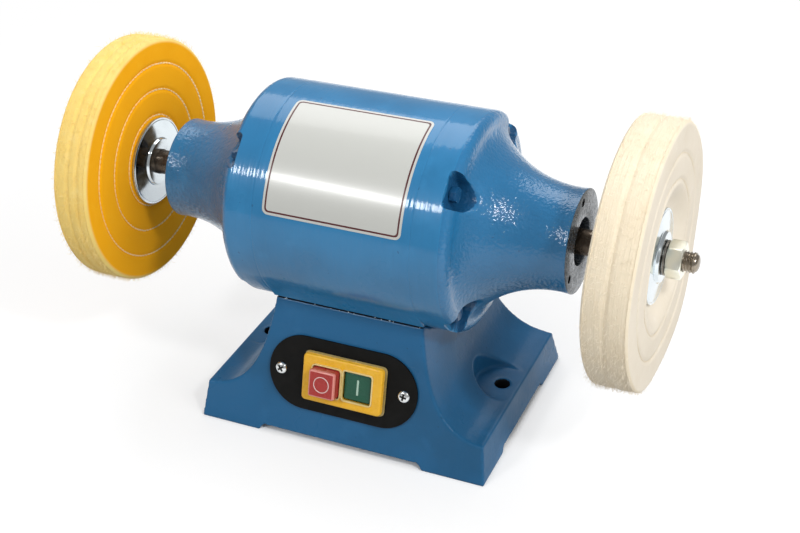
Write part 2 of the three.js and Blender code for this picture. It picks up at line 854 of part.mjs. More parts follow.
function addWheels() {
  add(leftEnd, 'left_wheel', revolve(wheelProfile(0), largeSides), finish('#efa60e', 0.9, 0));
  const lofty = revolve(wheelProfile(loftInside), largeSides);
  add(rightEnd, 'right_wheel', lofty, finish('#f1e6cf', 0.95, 0));
}

function addClampNuts() {
  const bore = threadRadius + fitGap;
  const turn = Math.asin(lockWasherSplit / 2 / lockWasherRadius);
  const washer = new THREE.Shape();
  washer.absarc(0, 0, lockWasherRadius, turn, Math.PI * 2 - turn);
  washer.absarc(0, 0, bore, Math.PI * 2 - turn, turn, true);
  const washerEnd = lockWasherStart + lockWasherThickness;
  const outline = hexagon(nutFlats);
  outline.holes.push(circlePath(0, 0, bore, smallSides));
  const blank = prismX(outline, nutStart, nutStart + nutThickness);
  const corner = nutFlats / Math.sqrt(3);
  const chamfered = revolve([
    [nutStart, 0],
    [nutStart, corner - nutChamfer],
    [nutStart + nutChamfer / 2, corner],
    [nutStart + nutThickness - nutChamfer / 2, corner],
    [nutStart + nutThickness, corner - nutChamfer],
    [nutStart + nutThickness, 0],
  ], mediumSides);
  const nut = common(blank, chamfered);
  ends.forEach(([group, side]) => {
    const ring = prismX(washer, lockWasherStart, washerEnd, { curveSegments: holeSides });
    add(group, `${side}_lock_washer`, ring, zincPlate());
    add(group, `${side}_shaft_nut`, nut, zincPlate());
  });
}

// Foot: a front outline with scooped ends, crossed with a side outline that leans in
function scoop(side) {
  const run = footHalfLength - deckHalfLength;
  const rise = seatHeight - footHeight;
  const handles = scoopHandleShares.map(([along, down]) => (
    new THREE.Vector2(side * (deckHalfLength + run * along), seatHeight - rise * down)
  ));
  const top = new THREE.Vector2(side * deckHalfLength, seatHeight);
  const toe = new THREE.Vector2(side * footHalfLength, footHeight);
  return new THREE.CubicBezierCurve(top, handles[0], handles[1], toe).getPoints(curveSteps * 2);
}

function baseOutline() {
  return new THREE.Shape([
    new THREE.Vector2(-baseHalfLength, 0),
    new THREE.Vector2(baseHalfLength, 0),
    ...scoop(1).reverse(),
    ...scoop(-1),
  ]);
}

function reliefTool(half) {
  return polygon([
    [-half - reliefSlope - overrun, -overrun],
    [half + reliefSlope + overrun, -overrun],
    [half + reliefSlope, 0],
    [half, reliefDepth],
    [-half, reliefDepth],
    [-half - reliefSlope, 0],
  ]);
}

function cavityGeometry() {
  const wall = baseWall / Math.cos(leanAngle);
  const at = (height) => baseHalfDepth - wall - height * leanShare;
  const half = [
    [cavityMouthHalfDepth, -overrun],
    [cavityMouthHalfDepth, cavityLipHeight],
    [at(cavityLipHeight), cavityLipHeight],
    [at(seatHeight), seatHeight],
  ];
  const mirrored = half.map(([y, z]) => [-y, z]).reverse();
  const room = prismX(polygon([...half, ...mirrored]), -cavityHalfLength, cavityHalfLength);
  const web = rodX(webRadius, -baseHalfLength, baseHalfLength, largeSides).translate(0, 0, shaftHeight);
  return cut(room, web);
}

function footPockets() {
  const tools = [];
  [-1, 1].forEach((sideX) => [-1, 1].forEach((sideY) => {
    const xs = [sideX * footPocketStart, sideX * (baseHalfLength - footPocketInset)].sort((a, b) => a - b);
    const ys = [sideY * footPocketWebHalf, sideY * (baseHalfDepth - footPocketInset)].sort((a, b) => a - b);
    tools.push(box(...xs, ...ys, -overrun, footPocketHeight));
  }));
  return tools;
}

function coverScrewPlaces() {
  const offsetY = cavityMouthHalfDepth + coverLand / 2;
  return [-1, 1].flatMap((sideX) => [-1, 1].map((sideY) => [sideX * coverScrewOffset, sideY * offsetY]));
}

function addBase() {
  const lean = polygon([
    [-baseHalfDepth, 0],
    [baseHalfDepth, 0],
    [seatHalfDepth, seatHeight],
    [-seatHalfDepth, seatHeight],
  ]);
  const front = prismY(baseOutline(), -baseHalfDepth, baseHalfDepth);
  const block = common(front, prismX(lean, -baseHalfLength - overrun, baseHalfLength + overrun));
  const reach = baseHalfLength + overrun;
  const cradle = rodX(cradleRadius, -reach, reach, largeSides).translate(0, 0, shaftHeight);
  const benchX = baseHalfLength - benchHoleInset;
  const benchHoles = [-1, 1].flatMap((side) => [
    rodZ(benchHoleRadius, -overrun, footHeight + overrun, smallSides).translate(side * benchX, 0, 0),
    rodZ(spotFaceRadius, footHeight, seatHeight, mediumSides).translate(side * benchX, 0, 0),
  ]);
  const coverHoles = coverScrewPlaces().map(([x, y]) => (
    rodZ(coverScrewRadius + fitGap, 0, reliefDepth + coverScrewGrip, holeSides).translate(x, y, 0)
  ));
  const cradleHoles = cradleScrewPlaces().map(([x, y]) => (
    rodZ(cradleScrewRadius + fitGap, footHeight, seatHeight, holeSides).translate(x, y, 0)
  ));
  const passage = rodZ(leadPassageRadius, footHeight, seatHeight, holeSides);
  passage.translate(cradleScrewOffset, leadPassageOffset, 0);
  const wallCut = -baseWall - overrun;
  const window = prismZ(panelWindow(switchShift), wallCut, overrun, { curveSegments: cornerSteps });
  const panelHoles = [-1, 1].map((side) => {
    const hole = rodZ(plateScrewRadius + fitGap, -plateScrewGrip - fitGap, overrun, holeSides);
    return placedOn(panel, hole.translate(side * plateScrewOffset, 0, 0));
  });
  const inletHole = rodZ(inletBarrelRadius + fitGap, wallCut, overrun, smallSides);
  const casting = cut(
    block,
    prismY(reliefTool(reliefHalfLength), -baseHalfDepth - overrun, baseHalfDepth + overrun),
    prismX(reliefTool(reliefHalfDepth), -reach, reach),
    cavityGeometry(),
    cradle,
    ...footPockets(),
    ...benchHoles,
    ...coverHoles,
    ...cradleHoles,
    passage,
    placedOn(panel, window),
    ...panelHoles,
    placedOn(inlet, inletHole),
  );
  add(machine, 'base', casting, enamel());
}

// A screw along Z: head from the seat down or up, shank the other way
function screwGeometry(radius, headRadius, headHeight, grip, domeShare = 1) {
  return revolve([
    [-grip, 0],
    [-grip, radius],
    [0, radius],
    [0, headRadius],
    [headHeight / 2, headRadius],
    [headHeight, headRadius * domeShare],
    [headHeight, 0],
  ], screwSides).rotateY(-Math.PI / 2);
}

function addCradleScrews() {
  const seat = shaftHeight - webRadius - fitGap;
  const grip = cradleWall + fitGap + housingWall - fitGap;
  cradleScrewPlaces().forEach(([x, y], index) => {
    const screw = screwGeometry(cradleScrewRadius, cradleScrewHead, cradleScrewHeadHeight, grip);
    const mesh = add(machine, `cradle_screw_${index + 1}`, screw.rotateX(Math.PI), zincPlate());
    mesh.position.set(x, y, seat);
  });
}

function addCover() {
  const length = (cavityHalfLength + coverMargin) * 2;
  const depth = (cavityMouthHalfDepth + coverLand) * 2;
  const outline = roundedRectangle(length, depth, coverMargin);
  coverScrewPlaces().forEach(([x, y]) => {
    outline.holes.push(circlePath(x, y, coverScrewRadius + fitGap));
  });
  const plate = prismZ(outline, coverBottom, coverTop, { curveSegments: cornerSteps });
  add(machine, 'base_cover_plate', plate, finish('#8f9294', 0.4, 0.8));
  coverScrewPlaces().forEach(([x, y], index) => {
    const screw = screwGeometry(coverScrewRadius, coverScrewHead, coverScrewHeadHeight, coverScrewGrip);
    const mesh = add(machine, `base_cover_screw_${index + 1}`, screw.rotateX(Math.PI), zincPlate());
    mesh.position.set(x, y, coverBottom - fitGap);
  });
}

// Switch panel, drawn flat and leaned with the face that carries it
function panelWindow(centre = 0) {
  const margin = gasketMargin * 2;
  return roundedRectangle(switchBodyLength + margin, switchBodyHeight + margin, gasketMargin, centre);
}

function addSwitchPlate() {
  const outline = roundedRectangle(plateLength, plateHeight, plateHeight / 2 - fitGap);
  outline.holes.push(panelWindow(switchShift));
  [-1, 1].forEach((side) => {
    outline.holes.push(circlePath(side * plateScrewOffset, 0, plateScrewRadius + fitGap));
  });
  const plate = prismZ(outline, fitGap, fitGap + plateThickness, { curveSegments: curveSteps / 2 });
  add(panel, 'switch_plate', plate, blackPlastic());
  [[-1, 'left'], [1, 'right']].forEach(([side, word]) => {
    const grip = plateScrewGrip + plateThickness;
    const [head, dome] = [plateScrewHead, plateScrewDomeShare];
    const screw = screwGeometry(plateScrewRadius, head, plateScrewHeadHeight, grip, dome);
    const mesh = add(panel, `switch_plate_screw_${word}`, screw, zincPlate());
    mesh.position.set(side * plateScrewOffset, 0, fitGap + plateThickness + fitGap);
  });
}

function buttonWindow(centre, size, margin) {
  return roundedRectangle(size + margin * 2, size + margin * 2, buttonCorner + margin, centre);
}

function addSwitchShell() {
  const seal = roundedRectangle(bezelLength + gasketMargin * 2, bezelHeight + gasketMargin * 2, bezelCorner);
  seal.holes.push(panelWindow());
  const sealStart = fitGap + plateThickness + fitGap;
  const sealOptions = { curveSegments: cornerSteps };
  const sealing = prismZ(seal, sealStart, sealStart + gasketThickness, sealOptions);
  add(switchPlace, 'switch_gasket', sealing, finish('#d9d3bd', 0.2, 0));

  const lip = bezelBevel * 2;
  const bezel = roundedRectangle(bezelLength - lip, bezelHeight - lip, bezelCorner - bezelBevel);
  bezel.holes.push(buttonWindow(stopPlace, stopButtonSize, buttonGap + bezelBevel));
  bezel.holes.push(buttonWindow(startPlace, startButtonSize, buttonGap + bezelBevel));
  const frame = prismZ(bezel, bezelBack + bezelBevel, bezelFace - bezelBevel, {
    bevelEnabled: true,
    bevelSegments: 1,
    bevelSize: bezelBevel,
    bevelThickness: bezelBevel,
    curveSegments: cornerSteps,
  });
  add(switchPlace, 'switch_frame', frame, finish('#e2b53a', 0.35, 0));

  const body = box(
    -switchBodyLength / 2, switchBodyLength / 2,
    -switchBodyHeight / 2, switchBodyHeight / 2,
    bodyTop - switchBodyDepth, bodyTop,
  );
  const wells = [[stopPlace, stopButtonSize], [startPlace, startButtonSize]].map(([centre, size]) => (
    prismZ(buttonWindow(centre, size, buttonGap), bodyTop - wellDepth, bodyTop + overrun, sealOptions)
  ));
  add(switchPlace, 'switch_body', cut(body, ...wells), blackPlastic());
}

class SpringCurve extends THREE.Curve {
  constructor(radius, from, to, turns) {
    super();
    Object.assign(this, { radius, from, to, turns });
  }

  getPoint(share, target = new THREE.Vector3()) {
    const turn = share * this.turns * Math.PI * 2;
    const height = this.from + (this.to - this.from) * share;
    return target.set(this.radius * Math.cos(turn), this.radius * Math.sin(turn), height);
  }
}

function springGeometry(from, to) {
  const radius = stemRadius + fitGap + springWireRadius;
  const path = new SpringCurve(radius, from + springWireRadius, to - springWireRadius, springTurns);
  const section = new THREE.Shape();
  section.absarc(0, 0, springWireRadius, 0, Math.PI * 2);
  return extrude(section, 0, { extrudePath: path, steps: springTurns * holeSides, curveSegments: 2 });
}

function addButton(word, centre, size, front, material) {
  const back = bodyTop - buttonSkirt;
  const cap = prismZ(
    roundedRectangle(size - buttonBevel * 2, size - buttonBevel * 2, buttonCorner - buttonBevel),
    back + buttonBevel,
    front - buttonBevel,
    {
      bevelEnabled: true,
      bevelSegments: 1,
      bevelSize: buttonBevel,
      bevelThickness: buttonBevel,
      curveSegments: cornerSteps,
    },
  );
  const stem = rodZ(stemRadius, back - stemLength, back + buttonBevel, screwSides);
  const button = add(switchPlace, `${word}_button`, join(cap, stem), material);
  button.position.x = centre;
  const wellFloor = bodyTop - wellDepth;
  const springLow = wellFloor + buttonTravel + fitGap;
  const coil = springGeometry(springLow, back - fitGap);
  const spring = add(switchPlace, `${word}_button_spring`, coil, bareSteel());
  spring.position.x = centre;
}

function addButtons() {
  const stopFront = bezelFace + stopButtonRise;
  const startFront = bezelFace - startButtonSink;
  addButton('stop', stopPlace, stopButtonSize, stopFront, finish('#c0403c', 0.35, 0));
  addButton('start', startPlace, startButtonSize, startFront, finish('#3f7a5c', 0.35, 0));
}

// Inside the foot: the run capacitor under its strap, and the terminal block
function addCapacitor() {
  const floor = coverTop + fitGap;
  const half = capacitorLength / 2;
  const can = revolve([
    [-half, 0],
    [-half, capacitorRadius - capacitorRim],
    [-half + capacitorRim, capacitorRadius],
    [half - capacitorRim, capacitorRadius],
    [half, capacitorRadius - capacitorRim],
    [half, 0],
  ], mediumSides);
  const height = floor + capacitorRadius;
  const capacitor = add(machine, 'capacitor', can, finish('#d8d8d2', 0.4, 0));
  capacitor.position.set(0, capacitorPlace, height);

  const inner = capacitorRadius + fitGap;
  const outer = inner + clampSheet;
  const sole = -height + floor;
  const strap = new THREE.Shape();
  strap.moveTo(outer + clampFoot, sole);
  strap.lineTo(outer + clampFoot, sole + clampSheet);
  strap.lineTo(outer, sole + clampSheet);
  strap.absarc(0, 0, outer, 0, Math.PI);
  strap.lineTo(-outer, sole + clampSheet);
  strap.lineTo(-outer - clampFoot, sole + clampSheet);
  strap.lineTo(-outer - clampFoot, sole);
  strap.lineTo(-inner, sole);
  strap.absarc(0, 0, inner, Math.PI, 0, true);
  strap.lineTo(inner, sole);
  const clamp = add(machine, 'capacitor_clamp', prismX(strap, -clampWidth / 2, clampWidth / 2), zincPlate());
  clamp.position.set(0, capacitorPlace, height);
}

function addTerminalBlock() {
  const floor = coverTop + fitGap;
  const [left, front] = [-terminalLength / 2, terminalPlace - terminalDepth / 2];
  const block = box(left, -left, front, front + terminalDepth, floor, floor + terminalHeight);
  const pitch = terminalLength / terminalWays;
  const wells = [];
  for (let way = 0; way < terminalWays; way += 1) {
    const middle = left + pitch * (way + 0.5);
    const half = (pitch * terminalWellShare) / 2;
    const low = floor + terminalHeight - terminalWellDepth;
    const back = front + terminalDepth;
    wells.push(box(middle - half, middle + half, front + half, back - half, low, low + overrun * 2));
  }
  add(machine, 'terminal_block', cut(block, ...wells), finish('#e8e6df', 0.5, 0));
}

// Cable inlet: a collared bush through the rear wall, held by a nut inside
function addInlet() {
  const nutTop = -baseWall - fitGap;
  const bush = revolve([
    [nutTop - inletBarrelReach, inletBoreRadius],
    [nutTop - inletBarrelReach, inletBarrelRadius],
    [fitGap, inletBarrelRadius],
    [fitGap, inletCollarRadius],
    [fitGap + inletCollarThickness / 2, inletCollarRadius],
    [fitGap + inletCollarThickness, inletBarrelRadius],
    [fitGap + inletCollarThickness, inletBoreRadius],
  ], smallSides).rotateY(-Math.PI / 2);
  add(inlet, 'cable_inlet', bush, blackPlastic());
  const outline = hexagon(inletCollarRadius * Math.sqrt(3));
  outline.holes.push(circlePath(0, 0, inletBarrelRadius + fitGap, smallSides));
  const nut = prismZ(outline, nutTop - inletNutThickness, nutTop);
  add(inlet, 'cable_inlet_nut', nut, blackPlastic());
}

addBase();
addCover();
addCradleScrews();
addHousing();
addBells();
addTieBolts();
addStator();
addWinding();
addBearings();
addWaveWasher();
addShaft();
addRotor();
addFlanges();
addWheels();
addClampNuts();
addSwitchPlate();
addSwitchShell();
addButtons();
addCapacitor();
addTerminalBlock();
addInlet();

machine.updateMatrixWorld(true);

export default machine;
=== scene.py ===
import json
from math import asin, atan2, cos, exp, hypot, pi, radians, sin, sqrt, tan, tau

import bmesh
import bpy
import numpy as np
from mathutils import Matrix, Vector


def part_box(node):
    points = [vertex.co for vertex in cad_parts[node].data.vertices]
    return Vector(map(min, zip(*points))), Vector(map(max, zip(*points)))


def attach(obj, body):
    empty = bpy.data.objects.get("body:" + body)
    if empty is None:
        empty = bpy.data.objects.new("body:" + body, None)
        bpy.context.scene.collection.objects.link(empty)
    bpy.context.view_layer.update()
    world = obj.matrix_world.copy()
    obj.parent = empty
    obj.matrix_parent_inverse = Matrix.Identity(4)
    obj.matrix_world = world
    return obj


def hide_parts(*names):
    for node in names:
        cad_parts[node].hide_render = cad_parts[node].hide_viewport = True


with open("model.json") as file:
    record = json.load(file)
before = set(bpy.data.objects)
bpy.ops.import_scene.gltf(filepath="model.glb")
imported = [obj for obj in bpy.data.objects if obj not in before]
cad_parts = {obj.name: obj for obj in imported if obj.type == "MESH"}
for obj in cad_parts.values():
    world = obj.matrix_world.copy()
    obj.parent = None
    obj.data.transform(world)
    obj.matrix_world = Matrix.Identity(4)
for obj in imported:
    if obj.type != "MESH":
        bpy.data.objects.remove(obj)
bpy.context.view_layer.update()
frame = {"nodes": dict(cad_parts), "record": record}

# Sizes are in millimetres, angles in degrees
MM = 0.001
MERGE = 0.00001
SHARP_ANGLE = 32
LEAST_TURN = 0.15
CORNER_SHARE = 0.45

# Camera
AZIMUTH, ELEVATION, ROLL = 24.76, 32.18, -2.14
DISTANCE = 889.6
TARGET = (13.8, 0, 93.2)
LENS, SENSOR = 66.35, 36

# Light: each lamp's place, size, power and whether it shows in reflections
LAMPS = {
    "key": ((1060, -640, 1320), (180, 180), 9, True),
    "side": ((1500, -300, 900), (1100, 1100), 13.5, False),
    "band": ((-640, -1240, 1090), (340, 200), 7.5, True),
    "top": ((-300, 800, 1400), (1500, 900), 13, True),
}
LAMP_AIM = (0, 0, 90)
AMBIENT = 0.4
REFLECTED = 0.33

# Floor: where its white starts beside the foot, as shares of the foot's half
# sizes, and how it rises with the distance in metres
FLOOR_HALF = 4000
WHITE_START = (0.985, 1.03)
WHITE_RISE = (0.15, 0.8, 0.52, 1.0)
UNSEEN_FLOOR = 0.4

# Motor housing
SHAFT_HEIGHT = 135
HOUSING_RADIUS = 65
HOUSING_BORE = 59
HOUSING_EDGE = 0.16
SEAM_X = 48.4
SKIRT_ANGLE = 34
SEAT_DROP = 50.2
SKIRT_GAP = 1.7

# End bells
BELL_START = 48.7
BELL_BORE = 58
SHOULDER_START = 64.5
NECK = ((70.4, 57.9), (69.4, 47.8), (95.7, 27.1), (126.7, 30.5))
SNOUT_FACE = 126.7
SNOUT_RADIUS = 30.5
SNOUT_BORE = 14
BEARING_STOP = 119
BEARING_SEAT = 17.9
TIE_CIRCLE = 54.5
POCKET_HALF = 9
POCKET_FLOOR = 63.8
POCKET_HALF_ANGLE = 9.5
POCKET_CORNER = 2.8
GUARD_HOLE_RADIUS = 2.5
GUARD_HOLE_CIRCLE = 24.9
GUARD_HOLE_DEPTH = 7

# Shaft ends
SHAFT_RADIUS = 7.5
THREAD_RADIUS = 6
THREAD_PITCH = 1.75
THREAD_DEPTH = 0.75
FLANGE_SEAT = 149.3
SHAFT_END = 193.6
SHAFT_DOME = 2.2
FLANGE_RADIUS = 27.4
BOSS_RADIUS = 15
INNER_FLANGE = 152
OUTER_FLANGE = 170.1
LOCK_WASHER = (174.6, 176.1)
NUT = (176.4, 185.2)
NUT_FLATS = 19

# Cloth wheels. The steps across a ply are (share of its width, how far it
# stands out), and a stitch's turns are shares of its length
WHEEL_LOW, WHEEL_HIGH = 152.3, 169.8
WHEEL_RADIUS = 76.6
WHEEL_BORE = 6.4
WHEEL_SIDES = 240
PLIES = 18
PLY_STEPS = ((0.12, 0), (0.5, 0.04), (0.88, 0), (1.0, -0.05))
WEAVE = 0.9
SEAM_DENT, SEAM_WIDTH = 0.9, 1.3
VALLEY_DENT, VALLEY_WIDTH = 0.8, 0.06
STITCH = 3.2
STITCH_TURNS = (0.0, 0.2, 0.5, 0.8, 1.0)
STITCH_RISE = (-0.15, 0.2, 0.3, 0.2, -0.15)
LOOSE_ENDS = 6500

# Foot
BASE_HALF_LENGTH = 94.1
BASE_HALF_DEPTH = 69.4
SEAT_HALF_DEPTH = 44.55
SEAT_HEIGHT = 84.8
FOOT_HEIGHT = 23.5
TOE_X = 91
DECK_X = 47.6
SCOOP_HANDLES = ((51.9, 55.0), (60.0, 23.5))
RELIEF_DEPTH = 4
BENCH_HOLE_X = 79.8
BENCH_HOLE_RADIUS = 4.5
SPOT_FACE_RADIUS = 17.5
CRADLE_RADIUS = 65.4
WEB_RADIUS = 72.4
FOOT_WALL = 6.25

# Switch panel, measured on the leaning front face
PANEL_UP = 45
INLET_UP = 30
PLATE = (97, 46.5)
PLATE_LOW, PLATE_TOP = 0.3, 1.8
PLATE_SCREW_X = 40.2
SWITCH_X = 1.9
BEZEL = (52.1, 29.8)
BODY_WINDOW = (46.7, 24.4)
STOP_X, STOP_SIZE, STOP_FRONT = -7.85, 17.2, 14.3
START_X, START_SIZE, START_FRONT = 11.95, 17.8, 5.6
SWITCH_BODY_TOP = 2.9

# Label on the housing
LABEL_X = (-41.8, 43.3)
LABEL_TURN = (16, 82)
LABEL_CORNER = 3.6
FILM_LOW, FILM_TOP = 0.02, 0.16
BORDER_OUTER, BORDER_INNER = 1.4, 2.4
BORDER_LOW, BORDER_TOP = 0.15, 0.19
LABEL_LENGTH = LABEL_X[1] - LABEL_X[0]
LABEL_HEIGHT = radians(LABEL_TURN[1] - LABEL_TURN[0]) * HOUSING_RADIUS

LEAN = atan2(BASE_HALF_DEPTH - SEAT_HALF_DEPTH, SEAT_HEIGHT)
random = np.random.RandomState(7)


def linear(code):
    """A colour written as in a paint chart, in scene values."""
    parts = [int(code[i:i + 2], 16) / 255 for i in (1, 3, 5)]
    return [c / 12.92 if c <= 0.04045 else ((c + 0.055) / 1.055) ** 2.4 for c in parts] + [1]


def linked(name, data):
    """A new object in the scene."""
    piece = bpy.data.objects.new(name, data)
    bpy.context.scene.collection.objects.link(piece)
    return piece


def put(owner, **settings):
    """Sets properties of a thing that Blender made."""
    for key, value in settings.items():
        setattr(owner, key, value)
    return owner


# Outlines and curves
def full_turn(sides):
    return np.linspace(0, tau, sides, endpoint=False)


def arc(radius, turns):
    """Points at those angles round the origin."""
    return np.stack([radius * np.cos(turns), radius * np.sin(turns)], 1)


def level(outline, height, column=2):
    """An outline's points with their height put in as that column."""
    return np.insert(np.asarray(outline, float), column, height, axis=1)


def hoop(x, radius, turns):
    """Points round the X axis."""
    return level(arc(radius, turns), x, 0)


def bezier(points, count):
    t = np.linspace(0, 1, count)[:, None]
    a, b, c, d = np.array(points)
    return (1 - t) ** 3 * a + 3 * t * (1 - t) ** 2 * b + 3 * t ** 2 * (1 - t) * c + t ** 3 * d


def rounded(points, radius, steps=4, loop=True):
    """The same outline with each of its corners turned into an arc."""
    result = []
    count = len(points)
    for i, point in enumerate(points):
        corner = Vector(point)
        before = Vector(points[i - 1]) - corner
        after = Vector(points[(i + 1) % count]) - corner
        is_end = not loop and i in (0, count - 1)
        turn = 0 if is_end else pi - before.angle(after)
        if turn < LEAST_TURN:
            result.append(tuple(corner))
            continue
        room = CORNER_SHARE * min(before.length, after.length)
        reach = min(radius * tan(turn / 2), room)
        start = corner + before.normalized() * reach
        end = corner + after.normalized() * reach
        for k in range(steps + 1):
            t = k / steps
            result.append(tuple(start * (1 - t) ** 2 + corner * 2 * t * (1 - t) + end * t * t))
    return result


def unit(vectors):
    return vectors / np.linalg.norm(vectors, axis=1)[:, None]


def inset(outline, distance):
    """A convex outline moved inwards."""
    points = np.array(outline)
    along = unit(np.roll(points, -1, 0) - np.roll(points, 1, 0))
    inwards = np.stack([-along[:, 1], along[:, 0]], 1)
    return points + inwards * distance


def oblong(x0, x1, y0, y1):
    return [(x1, y0), (x1, y1), (x0, y1), (x0, y0)]


def rectangle(width, height, corner, steps=6):
    x, y = width / 2, height / 2
    return rounded(oblong(-x, x, -y, y), corner, steps)


def stadium(width, height, steps=40):
    radius = height / 2
    turns = np.linspace(-pi / 2, pi / 2, steps)
    right = arc(radius, turns) + (width / 2 - radius, 0)
    return np.concatenate([right, -right])


def circle(radius, sides=48, x=0.0, y=0.0):
    return arc(radius, full_turn(sides)) + (x, y)


# Meshes
def shape(name, vertices, faces):
    mesh = bpy.data.meshes.new(name)
    mesh.from_pydata((np.asarray(vertices, float) * MM).tolist(), [], faces)
    mesh.update()
    return linked(name, mesh)


def sharpen(piece, angle=SHARP_ANGLE):
    """Smooth shading, creased at the edges that are sharper than the angle."""
    piece.data.shade_smooth()
    piece.data.set_sharp_from_angle(angle=radians(angle))
    return piece


def clean(piece, sharp=SHARP_ANGLE):
    work = bmesh.new()
    work.from_mesh(piece.data)
    bmesh.ops.remove_doubles(work, verts=work.verts, dist=MERGE)
    bmesh.ops.dissolve_degenerate(work, edges=work.edges, dist=MERGE)
    bmesh.ops.recalc_face_normals(work, faces=work.faces)
    work.to_mesh(piece.data)
    work.free()
    return sharpen(piece, sharp)


def skin(rows, columns, start=0, loop=False, capped=True):
    """Faces over rings of points that follow each other from a start."""
    faces = []
    for i in range(rows if loop else rows - 1):
        low, high = start + i * columns, start + (i + 1) % rows * columns
        for j in range(columns):
            after = (j + 1) % columns
            faces.append((low + j, low + after, high + after, high + j))
    if capped and not loop:
        last = start + (rows - 1) * columns
        faces += [tuple(range(first, first + columns)) for first in (start, last)]
    return faces


def loft(name, rings, loop=False, capped=True):
    """A skin over rings of points. A loop joins the last ring to the first."""
    faces = skin(len(rings), len(rings[0]), 0, loop, capped)
    return clean(shape(name, np.reshape(rings, (-1, 3)), faces))


def revolve(name, profile, sides=96):
    """A profile of (along X, radius) turned round the X axis."""
    rings = [hoop(x, radius, full_turn(sides)) for x, radius in profile]
    return loft(name, rings, loop=min(r for _, r in profile) > 0, capped=False)


def rod(low, high, radius, sides=96):
    """A round bar along X."""
    return revolve("rod", [(low, 0), (low, radius), (high, radius), (high, 0)], sides)


def slab(name, outline, low, high, edge=0.0, steps=4):
    """A convex outline in X and Y as a plate whose rims are rounded by edge."""
    rings = []
    for turn in np.linspace(0, pi / 2, steps) if edge else [0]:
        drop, rise = edge * (1 - sin(turn)), edge * sin(turn)
        drawn = inset(outline, edge * (1 - cos(turn)))
        rings = [level(drawn, low + drop), *rings, level(drawn, high - edge + rise)]
    return loft(name, rings)


def prism(name, outline, low, high, column):
    """An outline drawn out along X (column 0, from Y and Z) or along Y (column 1)."""
    return loft(name, [level(outline, end, column) for end in (low, high)])


def upright(radius, low, high, x=0.0, y=0.0, sides=64):
    """A round tool along Z."""
    return slab("tool", circle(radius, sides, x, y), low, high)


def settle(piece):
    """Makes a piece's modifiers part of its mesh."""
    graph = bpy.context.evaluated_depsgraph_get()
    mesh = bpy.data.meshes.new_from_object(piece.evaluated_get(graph))
    piece.modifiers.clear()
    old, piece.data = piece.data, mesh
    bpy.data.meshes.remove(old)
    return piece


def carve(piece, *tools, operation="DIFFERENCE"):
    for tool in tools:
        put(piece.modifiers.new("carve", "BOOLEAN"), operation=operation, object=tool)
    settle(piece)
    for tool in tools:
        bpy.data.objects.remove(tool)
    return piece


def soften(piece, width, segments=3, angle=40):
    bevel = put(piece.modifiers.new("edge", "BEVEL"), width=width * MM, segments=segments)
    put(bevel, limit_method="ANGLE", angle_limit=radians(angle))
    return piece


def cast(piece, voxel, rounds, share):
    """Gives a piece the soft edges of a painted casting."""
    put(piece.modifiers.new("skin", "REMESH"), mode="VOXEL", voxel_size=voxel * MM)
    put(piece.modifiers.new("soft", "SMOOTH"), factor=0.5, iterations=rounds)
    put(piece.modifiers.new("thin", "DECIMATE"), ratio=share)
    settle(piece)
    piece.data.shade_smooth()


def merged(name, pieces):
    """Several pieces as one mesh."""
    work = bmesh.new()
    for piece in pieces:
        work.from_mesh(piece.data)
        bpy.data.objects.remove(piece)
    mesh = bpy.data.meshes.new(name)
    work.to_mesh(mesh)
    work.free()
    return sharpen(linked(name, mesh))


# Places
def placed(piece, place):
    piece.data.transform(place)
    return piece


def shifted(piece, x=0.0, y=0.0, z=0.0):
    return placed(piece, Matrix.Translation(Vector((x, y, z)) * MM))


def turned(piece, angle, axis):
    return placed(piece, Matrix.Rotation(angle, 4, axis))


def upended(piece):
    """Turns what lies along X to stand along Z."""
    return turned(piece, -pi / 2, "Y")


def leaning_face(distance_up):
    y = -BASE_HALF_DEPTH + distance_up * sin(LEAN)
    z = distance_up * cos(LEAN)
    turn = Matrix.Rotation(pi / 2 - LEAN, 4, "X")
    return Matrix.Translation(Vector((0, y, z)) * MM) @ turn


GROUND = Matrix.Identity(4)
MOTOR = Matrix.Translation((0, 0, SHAFT_HEIGHT * MM))
HALF_TURN = Matrix.Rotation(pi, 4, "Z")
RIGHT_END, LEFT_END = MOTOR, MOTOR @ HALF_TURN
ENDS = (("right", RIGHT_END), ("left", LEFT_END))
PANEL = leaning_face(PANEL_UP)
INLET = HALF_TURN @ leaning_face(INLET_UP)


def paint(piece, looks):
    piece.data.materials.clear()
    for look in looks if isinstance(looks, tuple) else (looks,):
        piece.data.materials.append(look)


def mount(piece, looks, slot, place, *nodes, body="machine", choose=None):
    """Paints a piece and puts it in its place on a body, in the stead of CAD
    nodes. Choose gives the number of a face's look, by its middle and normal."""
    paint(piece, looks)
    if choose:
        for face in piece.data.polygons:
            face.material_index = int(choose(*(face.center / MM), face.normal))
    placed(piece, place)
    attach(piece, body)
    if nodes:
        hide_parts(*nodes)


